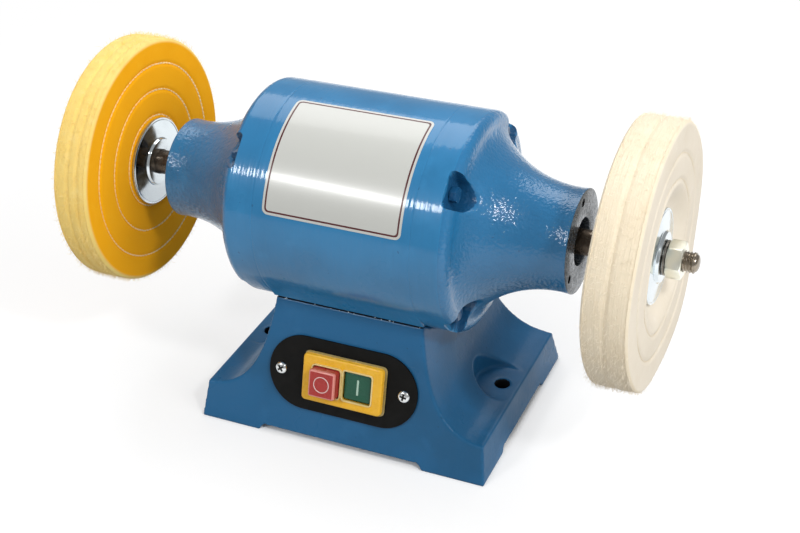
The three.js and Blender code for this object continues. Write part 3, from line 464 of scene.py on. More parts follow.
# Materials
class Tree:
    """The shader nodes of a material or world."""

    def __init__(self, owner):
        owner.use_nodes = True
        self.nodes, self.links = owner.node_tree.nodes, owner.node_tree.links

    def feed(self, socket, value):
        """Sets an input, or joins another node's output to it."""
        if isinstance(value, bpy.types.NodeSocket):
            self.links.new(value, socket)
        else:
            socket.default_value = value

    def add(self, kind, inputs=(), **settings):
        """A new node with its inputs, by name or number. Returns its outputs."""
        node = put(self.nodes.new("ShaderNode" + kind), **settings)
        for key, value in dict(inputs).items():
            self.feed(node.inputs[key], value)
        return node.outputs

    def math(self, operation, *values):
        return self.add("Math", enumerate(values), operation=operation)["Value"]

    def vector(self, operation, *values):
        return self.add("VectorMath", enumerate(values), operation=operation)

    def spread(self, value, low, high, out_low=0.0, out_high=1.0, curve="SMOOTHSTEP"):
        """A value from low to high as one from out_low to out_high."""
        ends = {"From Min": low, "From Max": high, "To Min": out_low, "To Max": out_high}
        return self.add("MapRange", {**ends, "Value": value}, interpolation_type=curve)["Result"]


class Finish(Tree):
    """A material of one shader with its textures."""

    def __init__(self, name, color, **sockets):
        self.material = bpy.data.materials.new(name)
        super().__init__(self.material)
        self.shader = self.nodes["Principled BSDF"].inputs
        self.shader["Base Color"].default_value = linear(color)
        for key, value in sockets.items():
            self.shader[key.replace("_", " ")].default_value = value
        self.coords = self.add("TexCoord")["Object"]
        self.normal = None

    def noise(self, size, detail, stretch=(1, 1, 1)):
        """Noise whose blots are about size millimetres across."""
        place = self.add("Mapping", {"Scale": stretch, "Vector": self.coords})["Vector"]
        inputs = {"Scale": 1 / (size * MM), "Detail": detail, "Vector": place}
        return self.add("TexNoise", inputs)["Fac"]

    def axes(self):
        parts = self.add("SeparateXYZ", {"Vector": self.coords})
        return parts["X"], parts["Y"], parts["Z"]

    def radius(self):
        """Distance from the shaft's axis."""
        _, y, z = self.axes()
        up = self.math("SUBTRACT", z, SHAFT_HEIGHT * MM)
        squares = [self.math("POWER", side, 2) for side in (y, up)]
        return self.math("SQRT", self.math("ADD", *squares))

    def waves(self, value, pitch):
        """Fine waves along a value, a pitch apart."""
        return self.math("SINE", self.math("MULTIPLY", value, tau / (pitch * MM)))

    def pattern(self, source):
        """What a source means: noise by its (size, detail, stretch), rings round
        the shaft's axis by their pitch, the stack of sheets along it, or any
        output as it is."""
        if isinstance(source, tuple):
            return self.noise(*source)
        if isinstance(source, float):
            return self.waves(self.radius(), source)
        return self.waves(self.axes()[0], SHEET) if source == "stack" else source

    def tint(self, color, source, low, high, most=1.0):
        """Lays a second colour over what is there, where the source is high."""
        share = self.spread(self.pattern(source), low, high, 0, most)
        target = self.shader["Base Color"]
        under = target.links[0].from_socket if target.links else tuple(target.default_value)
        inputs = {"A": under, "B": linear(color), "Factor": share}
        self.feed(target, self.add("Mix", inputs, data_type="RGBA")["Result"])
        return self

    def rough(self, source, low, high):
        self.feed(self.shader["Roughness"], self.spread(self.pattern(source), 0.3, 0.7, low, high))
        return self

    def bump(self, source, depth, strength):
        inputs = {"Distance": depth * MM, "Strength": strength, "Height": self.pattern(source)}
        if self.normal:
            inputs["Normal"] = self.normal
        self.normal = self.add("Bump", inputs)["Normal"]
        self.feed(self.shader["Normal"], self.normal)
        self.feed(self.shader["Coat Normal"], self.normal)
        return self


ALL_WAYS = (1, 1, 1)
ROUND_ABOUT = (1, 0.04, 0.04)
SPECK = "#1d3c56"
SHEET = 0.5


def enamel(name, color, shade, light, coat, wave, peel, grain):
    """Glossy paint on a casting: slow waves, orange peel and a few specks. The
    coat is (weight, roughness), peel (size, depth), grain (size, depth, stretch)."""
    made = Finish(name, color, Coat_Weight=coat[0], Coat_Roughness=coat[1], Specular_IOR_Level=0.14)
    made.tint(shade, (60, 3), 0.42, 0.72)
    made.tint(light, (22, 4), 0.55, 0.8, 0.6)
    made.tint(SPECK, (2.6, 1), 0.75, 0.79, 0.4)
    made.rough((35, 3), 0.26, 0.42)
    for size, depth, stretch in ((14, wave, ALL_WAYS), (*peel, ALL_WAYS), grain):
        made.bump((size, 2, stretch), depth, 0.6)
    return made.material


def plated(name, color, shade, rough_low, rough_high, ring_pitch):
    """Turned and plated steel, with fine rings and a cloudy film."""
    made = Finish(name, color, Metallic=1.0)
    made.tint(shade, (9, 3), 0.4, 0.8, 0.3)
    made.rough((5, 3), rough_low, rough_high)
    made.bump(ring_pitch, 0.002, 0.5)
    made.bump((1.2, 2), 0.003, 0.4)
    return made.material


def moulded(name, color, shade, rough_low, rough_high, grain, **sockets):
    """Moulded plastic with a fine grain and faint flow marks."""
    made = Finish(name, color, **sockets)
    made.tint(shade, (9, 3), 0.4, 0.75, 0.6)
    made.rough((5, 3), rough_low, rough_high)
    made.bump((0.5, 2), grain, 0.5)
    return made.material


def cloth(name, color, shade, light, streak, nap, edge=None):
    """Sewn cotton: mottled dye, plain weave and a nap. The edge is the colour
    into which the dye fades at the rim."""
    sockets = {"Roughness": 0.95, "Sheen_Roughness": 0.5, "Specular_IOR_Level": 0.1}
    made = Finish(name, color, Sheen_Weight=nap, **sockets)
    made.tint(shade, (26, 4), 0.4, 0.8, 0.5)
    made.tint(light, (8, 4), 0.5, 0.85, 0.35)
    made.tint(shade, (1.1, 3), 0.55, 0.8, streak)
    if edge:
        made.tint(edge, made.radius(), (WHEEL_RADIUS - 3.4) * MM, (WHEEL_RADIUS - 1) * MM)
    _, y, z = made.axes()
    warp, weft = (made.waves(side, WEAVE) for side in (y, z))
    made.bump(made.math("MULTIPLY", warp, weft), 0.05, 0.5)
    made.bump((5, 3), 0.3, 0.5)
    made.bump((0.7, 3), 0.12, 0.5)
    return made.material


ENAMEL = enamel(
    "housing_enamel", "#2c79aa", "#266e9c", "#3584b6",
    (0.6, 0.09), 0.06, (1.4, 0.01), (2.4, 0.3, ROUND_ABOUT),
)
BELL_ENAMEL = enamel(
    "bell_enamel", "#2770a0", "#216592", "#2f7bac",
    (0.8, 0.02), 0.16, (5, 0.2), (2.0, 0.8, ALL_WAYS),
)
# Painted shade: a darker copy of the enamel for the tie bolt pockets and the bolt ends in them
POCKET_SHADE_ENAMEL = enamel(
    "pocket_painted_shade_enamel", "#19507a", "#15456a", "#205c88",
    (0.5, 0.08), 0.16, (3.5, 0.2), (1.8, 0.9, ALL_WAYS),
)
BASE_ENAMEL = enamel(
    "foot_enamel", "#24618d", "#1f557b", "#2d6b99",
    (0.16, 0.2), 0.16, (4, 0.14), (1.6, 0.12, ALL_WAYS),
)
IRON = (
    Finish("bare_iron", "#5f6770", Metallic=0.4)
    .tint("#b4bcc4", (1.3, 4), 0.5, 0.72, 0.7).tint("#34373c", (1.7, 3), 0.57, 0.67, 0.75)
    .rough((2, 3), 0.16, 0.34).bump(0.8, 0.004, 0.5).bump((0.8, 3), 0.02, 0.8)
).material
OILED = (
    Finish("oiled_steel", "#63574b", Metallic=0.85)
    .tint("#4b3f35", (4, 4, (3, 1, 1)), 0.42, 0.7, 0.8)
    .rough((2, 3), 0.25, 0.45).bump((0.6, 3, (6, 1, 1)), 0.01, 0.6)
).material
BLACK_THREAD = plated("dark_thread", "#9a9082", "#6a6259", 0.2, 0.36, 0.5)
DARK_STEEL = plated("dark_steel", "#8a8782", "#5a5754", 0.18, 0.3, 0.5)
ZINC = plated("zinc_plate", "#d4dce0", "#bfc8ce", 0.1, 0.18, 0.7)
NUT_STEEL = plated("nut_zinc", "#f1f1e4", "#dcdac9", 0.3, 0.42, 0.6)
BEARING = plated("bearing_steel", "#b4b6b8", "#8d8f92", 0.12, 0.25, 0.4)
ALUMINIUM = plated("cast_aluminium", "#b9bbbd", "#8f9294", 0.35, 0.55, 0.9)
LAMINATIONS = (
    Finish("laminations", "#5f5c58", Metallic=0.8)
    .bump("stack", 0.03, 0.8).tint("#3f3c38", (3, 4), 0.4, 0.7, 0.7).rough((2, 3), 0.4, 0.6)
).material
COPPER = (
    Finish("varnished_copper", "#9c4d26", Metallic=0.7)
    .tint("#5e2a14", (4, 4), 0.4, 0.7, 0.8).rough((2, 3), 0.25, 0.45).bump(0.9, 0.1, 0.8)
).material
BLACK = moulded("black_plastic", "#1b1a19", "#242321", 0.42, 0.6, 0.03)
BLACK_PLATE = moulded(
    "black_plate", "#0d0d0c", "#131211", 0.5, 0.65, 0.02, Specular_IOR_Level=0.12
)
SCREW = plated("screw_zinc", "#dfe2e2", "#b4b7b6", 0.15, 0.3, 0.7)
# Painted shade: dark grey for the cross slots of the zinc screw heads
SLOT_SHADE = moulded("screw_slot_painted_shade", "#3a3a36", "#1d1c1a", 0.5, 0.7, 0.02)
YELLOW = moulded(
    "yellow_plastic", "#eab12a", "#f0bd3c", 0.22, 0.36, 0.008,
    Coat_Weight=0.15, Specular_IOR_Level=0.25,
)
RED = moulded(
    "red_plastic", "#a83531", "#9c2e2b", 0.22, 0.36, 0.008,
    Coat_Weight=0.12, Specular_IOR_Level=0.25,
)
RED_RIM = moulded("red_rim", "#d8857a", "#cf786d", 0.2, 0.34, 0.008, Coat_Weight=0.2)
GREEN = moulded(
    "green_plastic", "#1f5541", "#1b4c3a", 0.25, 0.36, 0.008,
    Coat_Weight=0.08, Specular_IOR_Level=0.25,
)
MARK = moulded("pale_mark", "#d8b9b4", "#e6cfca", 0.4, 0.5, 0.01)
MARK_GREEN = moulded("pale_green_mark", "#a9c7b5", "#bcd6c6", 0.4, 0.5, 0.01)
RIM_CLEAR = moulded("pale_lip", "#ddc27a", "#e9d49a", 0.15, 0.3, 0.01, Coat_Weight=0.4)
SEAL = moulded("clear_seal", "#cbb46c", "#dccb92", 0.15, 0.3, 0.02, Transmission_Weight=0.4)
WHITE = moulded("white_plastic", "#dcdcd6", "#cfcfc8", 0.4, 0.55, 0.02)
LABEL = moulded(
    "label_film", "#bfc0bb", "#bebfba", 0.28, 0.29, 0.002,
    Coat_Weight=0.25, Coat_Roughness=0.12,
)
LABEL_LINE = moulded("label_line", "#4c1519", "#541b1f", 0.3, 0.4, 0.002)
ORANGE = cloth("orange_cotton", "#ffb114", "#f9a708", "#ffbc26", 0.1, 0.03, "#f8db86")
ORANGE_RIM = cloth("orange_rim_cotton", "#f6d881", "#eec660", "#fae9aa", 0.1, 0.12)
CREAM = cloth("cream_cotton", "#e5dbca", "#dcd0bb", "#eee7da", 0.12, 0.1, "#eae0cc")
CREAM_RIM = cloth("cream_rim_cotton", "#ecdfc6", "#e3d3b6", "#f5ebd8", 0.06, 0.12)
THREAD_PALE = cloth("pale_thread", "#ffe2a6", "#fdd58c", "#ffedc4", 0.06, 0.1)
THREAD_CREAM = cloth("cream_thread", "#e8dcc6", "#decfb3", "#f0e7d6", 0.1, 0.1)
FLUFF_YELLOW = cloth("yellow_fluff", "#f9e09a", "#f5d67f", "#fbecba", 0.1, 0.1)
FLUFF_CREAM = cloth("cream_fluff", "#f6ecda", "#efe2cb", "#faf3e6", 0.1, 0.1)
# Painted shade: near black for the insides of holes and the gap under the housing's skirts
HOLE_SHADE = moulded(
    "hole_painted_shade", "#15171a", "#1d2024", 0.6, 0.8, 0.02, Specular_IOR_Level=0.15
)
FLECK = moulded("paint_fleck", "#c9d6df", "#8fb0c9", 0.4, 0.6, 0.02)


# Housing barrel with its tangent skirts
def barrel_outline():
    drop = SEAT_DROP - SKIRT_GAP
    lean = radians(SKIRT_ANGLE)
    run = (drop - HOUSING_RADIUS * sin(lean)) / cos(lean)
    foot_y = HOUSING_RADIUS * cos(lean) - run * sin(lean)
    under = asin(drop / HOUSING_RADIUS)
    top = arc(HOUSING_RADIUS, np.radians(np.linspace(-SKIRT_ANGLE, 180 + SKIRT_ANGLE, 110)))
    belly = arc(HOUSING_RADIUS, np.linspace(pi + under, tau - under, 24))
    left = np.array([(-foot_y - 0.3 * k, -drop + 0.9 * k * k) for k in (1, 0)])
    return np.concatenate([top, left, belly, left[::-1] * (-1, 1)])


def add_housing():
    outer = barrel_outline()
    bore = arc(HOUSING_BORE, np.arctan2(outer[:, 1], outer[:, 0]))
    edge = HOUSING_EDGE
    steps = [(SEAM_X, edge), (SEAM_X - edge * 0.3, edge * 0.3), (SEAM_X - edge, 0)]
    steps += [(SEAM_X - inwards, 0) for inwards in (0.8, 3, 16)]
    rings = [level(inset(outer, draw), -x, 0) for x, draw in steps]
    rings += [level(inset(outer, draw), x, 0) for x, draw in reversed(steps)]
    rings += [level(bore, x, 0) for x in (SEAM_X, -SEAM_X)]
    piece = loft("housing_barrel", rings, loop=True)
    mount(piece, ENAMEL, "blue_enamel", MOTOR, "stator_housing")


def add_seam_beads():
    """Paint that bridges the joint between the housing and each bell."""
    top = HOUSING_RADIUS - 0.07
    start, end = SEAM_X - 0.2, BELL_START + 0.2
    profile = [(start, top - 0.8), (start, top - 0.06), (SEAM_X + 0.15, top)]
    profile += [(end, top - 0.06), (end, top - 0.8)]
    for side, place in ENDS:
        mount(revolve(f"{side}_seam_bead", profile, 180), ENAMEL, "blue_enamel", place)


# End bells
def smooth_step(value):
    t = np.clip(value, 0, 1)
    return t * t * (3 - 2 * t)


def lesser(a, b, blend):
    """The smaller of two lengths, with a soft change between them."""
    h = np.clip(0.5 + 0.5 * (b - a) / blend, 0, 1)
    return b + (a - b) * h - blend * h * (1 - h)


def bell_outer():
    """The band with its fine edge, the shoulder and the neck."""
    shoulder_end, neck_radius = NECK[0]
    run, drop = shoulder_end - SHOULDER_START, HOUSING_RADIUS - neck_radius
    edge = [(0, HOUSING_EDGE), (0.05, 0.05), (HOUSING_EDGE, 0)]
    band = [(BELL_START + along, HOUSING_RADIUS - draw) for along, draw in edge]
    marks = (49.4, 51, 55, 59, 61.6, *np.arange(62.2, SHOULDER_START, 0.12))
    band += [(x, HOUSING_RADIUS) for x in marks]
    turns = np.radians(np.linspace(90, 2, 30))
    shoulder = arc(1, turns) * (run, drop) + (SHOULDER_START, neck_radius)
    return np.concatenate([band, shoulder, bezier(NECK, 56)[:-1]])


def bell_inner():
    """The snout's face and bore, the bearing seat and the hollow behind it."""
    face = [(SNOUT_FACE - 4, SNOUT_RADIUS + 0.02), (SNOUT_FACE, SNOUT_RADIUS)]
    face += [(SNOUT_FACE, SNOUT_BORE), (BEARING_STOP, SNOUT_BORE)]
    hollow = [(103, 24), (92, 31), (80, 39), (74, 41.5), (58.8, 41.5)]
    return [
        *rounded(face, 0.5, 3, loop=False)[1:],
        (BEARING_STOP, BEARING_SEAT), (103, BEARING_SEAT),
        *hollow,
        (58.8, BELL_BORE), (BELL_START, BELL_BORE),
    ]


def bell_turns():
    """Angles round the bell, close together at the walls of the tie bolt pockets."""
    wall = np.arange(6.6, 12.4, 0.22)
    across = np.concatenate([-wall[::-1], np.linspace(-6, 6, 13), wall, np.arange(15.5, 75, 3.3)])
    return np.concatenate([middle + across for middle in (45, 135, 225, 315)])


def pocketed(x, radius, turns):
    """The bell's outer radius all round, drawn in at the pockets."""
    away = np.abs((turns % 90) - 45)
    depth = np.sqrt(np.clip(1 - (away / POCKET_HALF_ANGLE) ** 2, 0, 1))
    bottom = TIE_CIRCLE - POCKET_HALF * depth
    across = np.maximum(0, np.radians(away - POCKET_HALF_ANGLE) * radius + POCKET_CORNER)
    along = max(0, POCKET_FLOOR - x + POCKET_CORNER)
    beyond = np.hypot(across, along) - POCKET_CORNER
    return lesser(radius, bottom + 30 * smooth_step((beyond + 0.4) / 1.5), 1.5)


def bell_mesh(name):
    turns = bell_turns()
    around = np.radians(turns)
    rings = [hoop(x, pocketed(x, radius, turns), around) for x, radius in bell_outer()]
    rings += [hoop(x, radius, around) for x, radius in bell_inner()]
    holes = []
    for step in range(3):
        hole = rod(SNOUT_FACE - GUARD_HOLE_DEPTH, SNOUT_FACE + 1, GUARD_HOLE_RADIUS, 24)
        holes.append(turned(shifted(hole, z=GUARD_HOLE_CIRCLE), step * tau / 3, "X"))
    return sharpen(carve(loft(name, rings, loop=True), *holes))


def add_bells():
    along, full = np.array(sorted(map(tuple, bell_outer()))).T

    def look(x, y, z, _):
        """The enamel (0), the machined iron (1), painted shade in its holes (2),
        painted shade in the pockets (3) or the band, which matches the housing (4)."""
        reach = hypot(y, z)
        bare = x > SNOUT_FACE - 0.3 or (reach < GUARD_HOLE_CIRCLE + 3 and x > BEARING_STOP - 0.5)
        drilled = reach > SNOUT_BORE + 1 and BEARING_STOP < x < SNOUT_FACE - 0.3
        # Faces sunk in a pocket take the darker enamel, which is painted shade
        sunk = 45 < reach < np.interp(x, along, full) - 2 and x < 90
        if sunk and not bare:
            return 3
        if x < SHOULDER_START + 1:
            return 4
        return bare + (bare and drilled)

    looks = (BELL_ENAMEL, IRON, HOLE_SHADE, POCKET_SHADE_ENAMEL, ENAMEL)
    for side, place in ENDS:
        piece = bell_mesh(f"{side}_bell_casting")
        mount(piece, looks, "blue_enamel", place, f"{side}_end_bell", choose=look)


# Foot
def relief(half):
    """The hollow under the foot, with sloping sides that run on below it."""
    slope, past = 3, 4
    right = [(half + slope + past, -past), (half + slope, 0), (half, RELIEF_DEPTH)]
    left = [(-x, z) for x, z in reversed(right)]
    return [left[-1], *right, *left[:-1]]


def window(low, high):
    """The opening for the switch body."""
    return slab("window", rectangle(*BODY_WINDOW, 0.7), low, high)


def wiring_space():
    walls = [(54, -5), (54, 12)]
    walls += [(BASE_HALF_DEPTH - FOOT_WALL - z * tan(LEAN), z) for z in (12, SEAT_HEIGHT)]
    room = prism("tool", walls + [(-y, z) for y, z in reversed(walls)], -41.6, 41.6, 0)
    return carve(room, shifted(rod(-99, 99, WEB_RADIUS), z=SHAFT_HEIGHT))


def screw_places(word, count):
    """Middles in X and Y of the solids of that name."""
    boxes = [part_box(f"{word}_{number}") for number in range(1, count + 1)]
    return [tuple((low + high).xy / 2 / MM) for low, high in boxes]


def foot_holes():
    """Openings for the switch, its plate's screws, the cable inlet, the
    cradle and cover screws, and the leads to the motor."""
    holes = [placed(shifted(window(-12, 5), SWITCH_X), PANEL), placed(upright(8, -12, 5), INLET)]
    for x in (-PLATE_SCREW_X, PLATE_SCREW_X):
        holes.append(placed(upright(2.3, -7.3, 5, x, sides=24), PANEL))
    cradle_screws = screw_places("cradle_screw", 2)
    holes += [upright(3.3, FOOT_HEIGHT, SEAT_HEIGHT, x, y, 32) for x, y in cradle_screws]
    holes += [upright(2.3, 0, 12, x, y, 24) for x, y in screw_places("base_cover_screw", 4)]
    holes.append(upright(5, FOOT_HEIGHT, SEAT_HEIGHT, max(cradle_screws)[0], 24))
    return holes


def foot_look(x, y, z, _):
    # Painted shade: near black in the bench holes below their spot faces, and on the seat's top in
    # the gap under the skirts
    drilled = hypot(abs(x) - BENCH_HOLE_X, y) < BENCH_HOLE_RADIUS + 0.3
    return (drilled and z < FOOT_HEIGHT - 0.5) or z > SEAT_HEIGHT - 0.5


def add_foot():
    scoop = bezier([(DECK_X, SEAT_HEIGHT), *SCOOP_HANDLES, (TOE_X, FOOT_HEIGHT)], 30)
    toes = [(-BASE_HALF_LENGTH, 0), (BASE_HALF_LENGTH, 0)]
    outline = np.concatenate([toes, scoop[::-1], scoop * (-1, 1)])
    foot = prism("foot_casting", outline, -BASE_HALF_DEPTH, BASE_HALF_DEPTH, 1)
    lean = [(-BASE_HALF_DEPTH, 0), (BASE_HALF_DEPTH, 0)]
    lean += [(SEAT_HALF_DEPTH, SEAT_HEIGHT), (-SEAT_HALF_DEPTH, SEAT_HEIGHT)]
    carve(foot, prism("lean", lean, -99, 99, 0), operation="INTERSECT")
    tools = [
        prism("tool", relief(51.2), -75, 75, 1),
        prism("tool", relief(33), -99, 99, 0),
        shifted(rod(-99, 99, CRADLE_RADIUS, 160), z=SHAFT_HEIGHT),
        wiring_space(),
    ]
    for side in (-1, 1):
        x = side * BENCH_HOLE_X
        tools.append(upright(BENCH_HOLE_RADIUS, -5, FOOT_HEIGHT + 5, x))
        tools.append(upright(SPOT_FACE_RADIUS, FOOT_HEIGHT, SEAT_HEIGHT, x))
        for other in (-1, 1):
            xs, ys = sorted((side * 50, side * 86.1)), sorted((other * 20, other * 61.4))
            tools.append(slab("tool", oblong(*xs, *ys), -5, 15))
    carve(foot, *tools, *foot_holes())
    cast(foot, voxel=0.85, rounds=6, share=0.35)
    mount(foot, (BASE_ENAMEL, HOLE_SHADE), "blue_enamel", GROUND, "base", choose=foot_look)


def add_flecks():
    """Chips of pale paint along the joint between the skirt and the foot."""
    pieces = []
    for side in (-1, 1):
        for x in random.uniform(-DECK_X, DECK_X, 14):
            size = random.uniform(0.25, 0.8)
            profile = [(-1, 0), (-0.5, 0.4), (0.7, 0.3), (1, 0)]
            chip = revolve("chip", [(size * along, size * r) for along, r in profile], 7)
            turned(chip, random.uniform(0, pi), "Y")
            y = side * (SEAT_HALF_DEPTH + random.uniform(-0.2, 0.5))
            pieces.append(shifted(chip, x, y, SEAT_HEIGHT + random.uniform(-0.3, 0.5)))
    mount(merged("paint_flecks", pieces), FLECK, "blue_enamel", GROUND)


# Shaft with a rolled thread at each end
def add_shaft():
    turns = full_turn(64)
    thread_end = SHAFT_END - SHAFT_DOME
    dome = [
        (thread_end + SHAFT_DOME * sin(t), (THREAD_RADIUS - 0.9) * cos(t) ** 0.6)
        for t in np.radians([0, 22, 45, 68, 90])
    ]
    plain = [(0, 10), (36, 10), (36.2, 9.1), (107, 9.1), (107.2, SHAFT_RADIUS)]
    plain += [(FLANGE_SEAT - 0.4, SHAFT_RADIUS), (FLANGE_SEAT, SHAFT_RADIUS - 0.4)]
    plain += [(FLANGE_SEAT + 0.2, THREAD_RADIUS), (174, THREAD_RADIUS)]
    half = [(x, radius, 0) for x, radius in plain]
    half += [(x, THREAD_RADIUS, 1) for x in np.arange(174.2, thread_end, 0.2)]
    half += [(x, radius, 0) for x, radius in dome]
    rings = []
    for side, rows in ((-1, half[:0:-1]), (1, half)):
        for x, radius, threaded in rows:
            wave = np.abs(((x / THREAD_PITCH - turns / tau) % 1) * 2 - 1)
            cut = threaded * THREAD_DEPTH * np.clip(wave * 1.3 - 0.1, 0, 1)
            fade = min(1, (thread_end - x) / 1.5) if threaded else 0
            rings.append(hoop(side * x, radius - cut * max(fade, 0.25), turns))
    piece = loft("threaded_shaft", rings, capped=False)
    looks, ends = (OILED, BLACK_THREAD), lambda x, *_: abs(x) > 160
    mount(piece, looks, "shaft_steel", MOTOR, "shaft", body="spindle", choose=ends)


# Flanges, lock washers and nuts on each shaft end
def flange(name, seat, way, corner, mouth):
    """A flange that clamps at its seat, with its boss on the way out. The mouth
    is how its bore ends."""
    section = [
        (0.8, THREAD_RADIUS + 0.2), (0.8, BOSS_RADIUS),
        (0, FLANGE_RADIUS - 2), (0, FLANGE_RADIUS), (1.6, FLANGE_RADIUS),
        (1.6, FLANGE_RADIUS - 0.9), (1.3, FLANGE_RADIUS - 1.2), (1.7, FLANGE_RADIUS - 1.6),
        (2.4, BOSS_RADIUS + 0.6), (2.6, BOSS_RADIUS), (4.2, BOSS_RADIUS - 0.7), *mouth,
    ]
    return revolve(name, rounded([(seat + way * x, r) for x, r in section], corner, 3), 128)


def outer_flange(name):
    return flange(name, OUTER_FLANGE, 1, 0.5, [(4.2, THREAD_RADIUS + 0.2)])


def inner_flange(name):
    bore, counterbore = THREAD_RADIUS + 0.2, SHAFT_RADIUS + 0.2
    mouth = [(4.2, counterbore), (2.4, counterbore), (2.4, bore)]
    return flange(name, INNER_FLANGE, -1, 0.4, mouth)


def lock_washer(name):
    low, high = LOCK_WASHER
    x, radius = np.array(rounded([(low, 6.3), (low, 10), (high, 10), (high, 6.3)], 0.3, 2)).T
    turns = np.radians(np.linspace(6, 354, 60))
    return loft(name, [hoop(x + 0.12 * (turn / pi - 1), radius, turn) for turn in turns])


def shaft_nut(name):
    low, high = NUT
    corner = NUT_FLATS / sqrt(3)
    blank = prism(name, circle(corner, 6), low, high, 0)
    cone = [(low, 0), (low, corner - 1.5), (low + 0.9, corner + 0.1)]
    cone += [(high - 0.9, corner + 0.1), (high, corner - 1.5), (high, 0)]
    carve(blank, revolve("cone", cone), operation="INTERSECT")
    carve(blank, rod(low - 1, high + 1, THREAD_RADIUS + 0.15, 64))
    return clean(settle(soften(blank, 0.35, 3, 25)))


def add_clamping():
    parts = (
        ("outer_disc", outer_flange, ZINC, "outer_flange"),
        ("inner_disc", inner_flange, ZINC, "inner_flange"),
        ("split_ring", lock_washer, DARK_STEEL, "lock_washer"),
        ("hex_nut", shaft_nut, NUT_STEEL, "shaft_nut"),
    )
    for side, place in ENDS:
        for word, make, look, node in parts:
            piece = make(f"{side}_{word}")
            mount(piece, look, "zinc_plate", place, f"{side}_{node}", body="spindle")


# Cloth wheels: sewn plies, frayed at the rim
def ripple(count, size):
    """A smooth closed wave with random parts."""
    turns = full_turn(WHEEL_SIDES)
    wave = np.zeros_like(turns)
    for order in range(2, 2 + count):
        part = random.normal(0, 1 / sqrt(count))
        wave += part * np.cos(order * turns + random.uniform(0, 6.3))
    return wave * size


def wheel_mesh(name, swell, seams, valleys):
    """The swell is how far each face stands out past its clamped middle:
    (inside, outside). The valleys are shares of the width."""
    turns = full_turn(WHEEL_SIDES)
    clamp = FLANGE_RADIUS + 0.4
    reach = np.concatenate([
        [WHEEL_BORE, 14, 22, clamp - 1],
        np.linspace(clamp, WHEEL_RADIUS - 2.5, 64),
        [WHEEL_RADIUS - 1.6, WHEEL_RADIUS - 0.9, WHEEL_RADIUS - 0.4],
    ])
    bend, twist = ripple(5, 0.35), ripple(7, 0.25)

    def face(radius, outside):
        """How far along the axis the face lies, all round."""
        base, side = ((WHEEL_LOW, -1), (WHEEL_HIGH, 1))[outside]
        out = smooth_step((radius - clamp) / 15)
        crown = swell[outside] * out
        dent = sum(SEAM_DENT * exp(-((radius - seam) / SEAM_WIDTH) ** 2) for seam in seams)
        rim = max(0, radius - (WHEEL_RADIUS - 2.6))
        drop = 0.32 * rim * rim
        waves = bend * (radius / WHEEL_RADIUS) ** 2 * out + twist * sin(radius / 6) * out
        return base + side * (crown - dent - drop) + waves

    rings = [hoop(face(radius, 0), radius, turns) for radius in reach]
    inside, outside = face(reach[-1], 0), face(reach[-1], 1)
    frays = [ripple(20, 0.035) for _ in range(PLIES)]
    steps = [(ply, *step) for ply in range(PLIES) for step in PLY_STEPS]
    for ply, part, lift in steps[:-1]:
        share = (ply + part) / PLIES
        crown = -0.6 * (2 * share - 1) ** 4
        for valley in valleys:
            crown -= VALLEY_DENT * exp(-((share - valley) / VALLEY_WIDTH) ** 2)
        radius = WHEEL_RADIUS + lift + crown + frays[ply] - 0.2
        rings.append(hoop(inside + (outside - inside) * share, radius, turns))
    rings += [hoop(face(radius, 1), radius, turns) for radius in reach[::-1]]
    return sharpen(loft(name, rings, loop=True), 70), face


def strand(points, radius):
    """A thread through points, as a slim three-sided tube."""
    along = unit(np.gradient(points, axis=0))
    side = unit(np.cross(along, (0.31, 0.87, 0.38)))
    other = np.cross(along, side)
    rows = []
    for k, (point, a, b) in enumerate(zip(points, side, other)):
        size = radius * (1 if 0 < k < len(points) - 1 else 0.45)
        rows.append([point + size * (a * cos(t) + b * sin(t)) for t in (0, 2.09, 4.19)])
    return rows


def tubes(name, strands):
    """Many strands of the same number of rows as one mesh."""
    data = np.array(strands)
    count, rows, sides, _ = data.shape
    faces = [face for k in range(count) for face in skin(rows, sides, k * rows * sides)]
    return clean(shape(name, data.reshape(-1, 3), faces), 80)


def seam_threads(name, face, seams, thick):
    """Running stitches in rings on both faces of a wheel."""
    strands = []
    for seam in seams:
        count = int(tau * seam / STITCH)
        for outside, side in enumerate((-1, 1)):
            plane = face(seam, outside)
            for k in range(count):
                turns = (k + np.array(STITCH_TURNS)) * tau / count
                index = (turns / tau * WHEEL_SIDES).astype(int) % WHEEL_SIDES
                wander = seam + random.normal(0, 0.05, 5)
                x = plane[index] + side * np.array(STITCH_RISE)
                strands.append(strand(hoop(x, wander, turns), thick))
    return tubes(name, strands)


def fringe(name, low, high):
    """Loose cotton ends round the rim."""
    strands = []
    for _ in range(LOOSE_ENDS):
        turn = random.uniform(0, tau)
        start = WHEEL_RADIUS - random.uniform(0.8, 1.6)
        length = random.uniform(0.9, 3.4)
        x = random.uniform(low + 0.4, high - 0.4)
        lean = random.normal(0, 0.5, 2)
        share = np.array([0, 0.35, 0.7, 1])
        radius = start + length * share
        bend = share * share * length
        points = hoop(x + lean[1] * bend * 0.8, radius, turn + lean[0] * bend / radius)
        strands.append(strand(points, random.uniform(0.04, 0.08)))
    return tubes(name, strands)


def wheel_look(_, y, z, __):
    return hypot(y, z) > WHEEL_RADIUS - 1.6


def add_wheel(side, place, slot, cloths, thread, fluff, swell, seams, valleys, thick):
    piece, face = wheel_mesh(f"{side}_buff", swell, seams, valleys)
    mount(piece, cloths, slot, place, f"{side}_wheel", body="spindle", choose=wheel_look)
    threads = seam_threads(f"{side}_buff_seams", face, seams, thick)
    mount(threads, thread, slot, place, body="spindle")
    ends = fringe(f"{side}_buff_fringe", WHEEL_LOW - swell[0], WHEEL_HIGH + swell[1])
    mount(ends, fluff, slot, place, body="spindle")


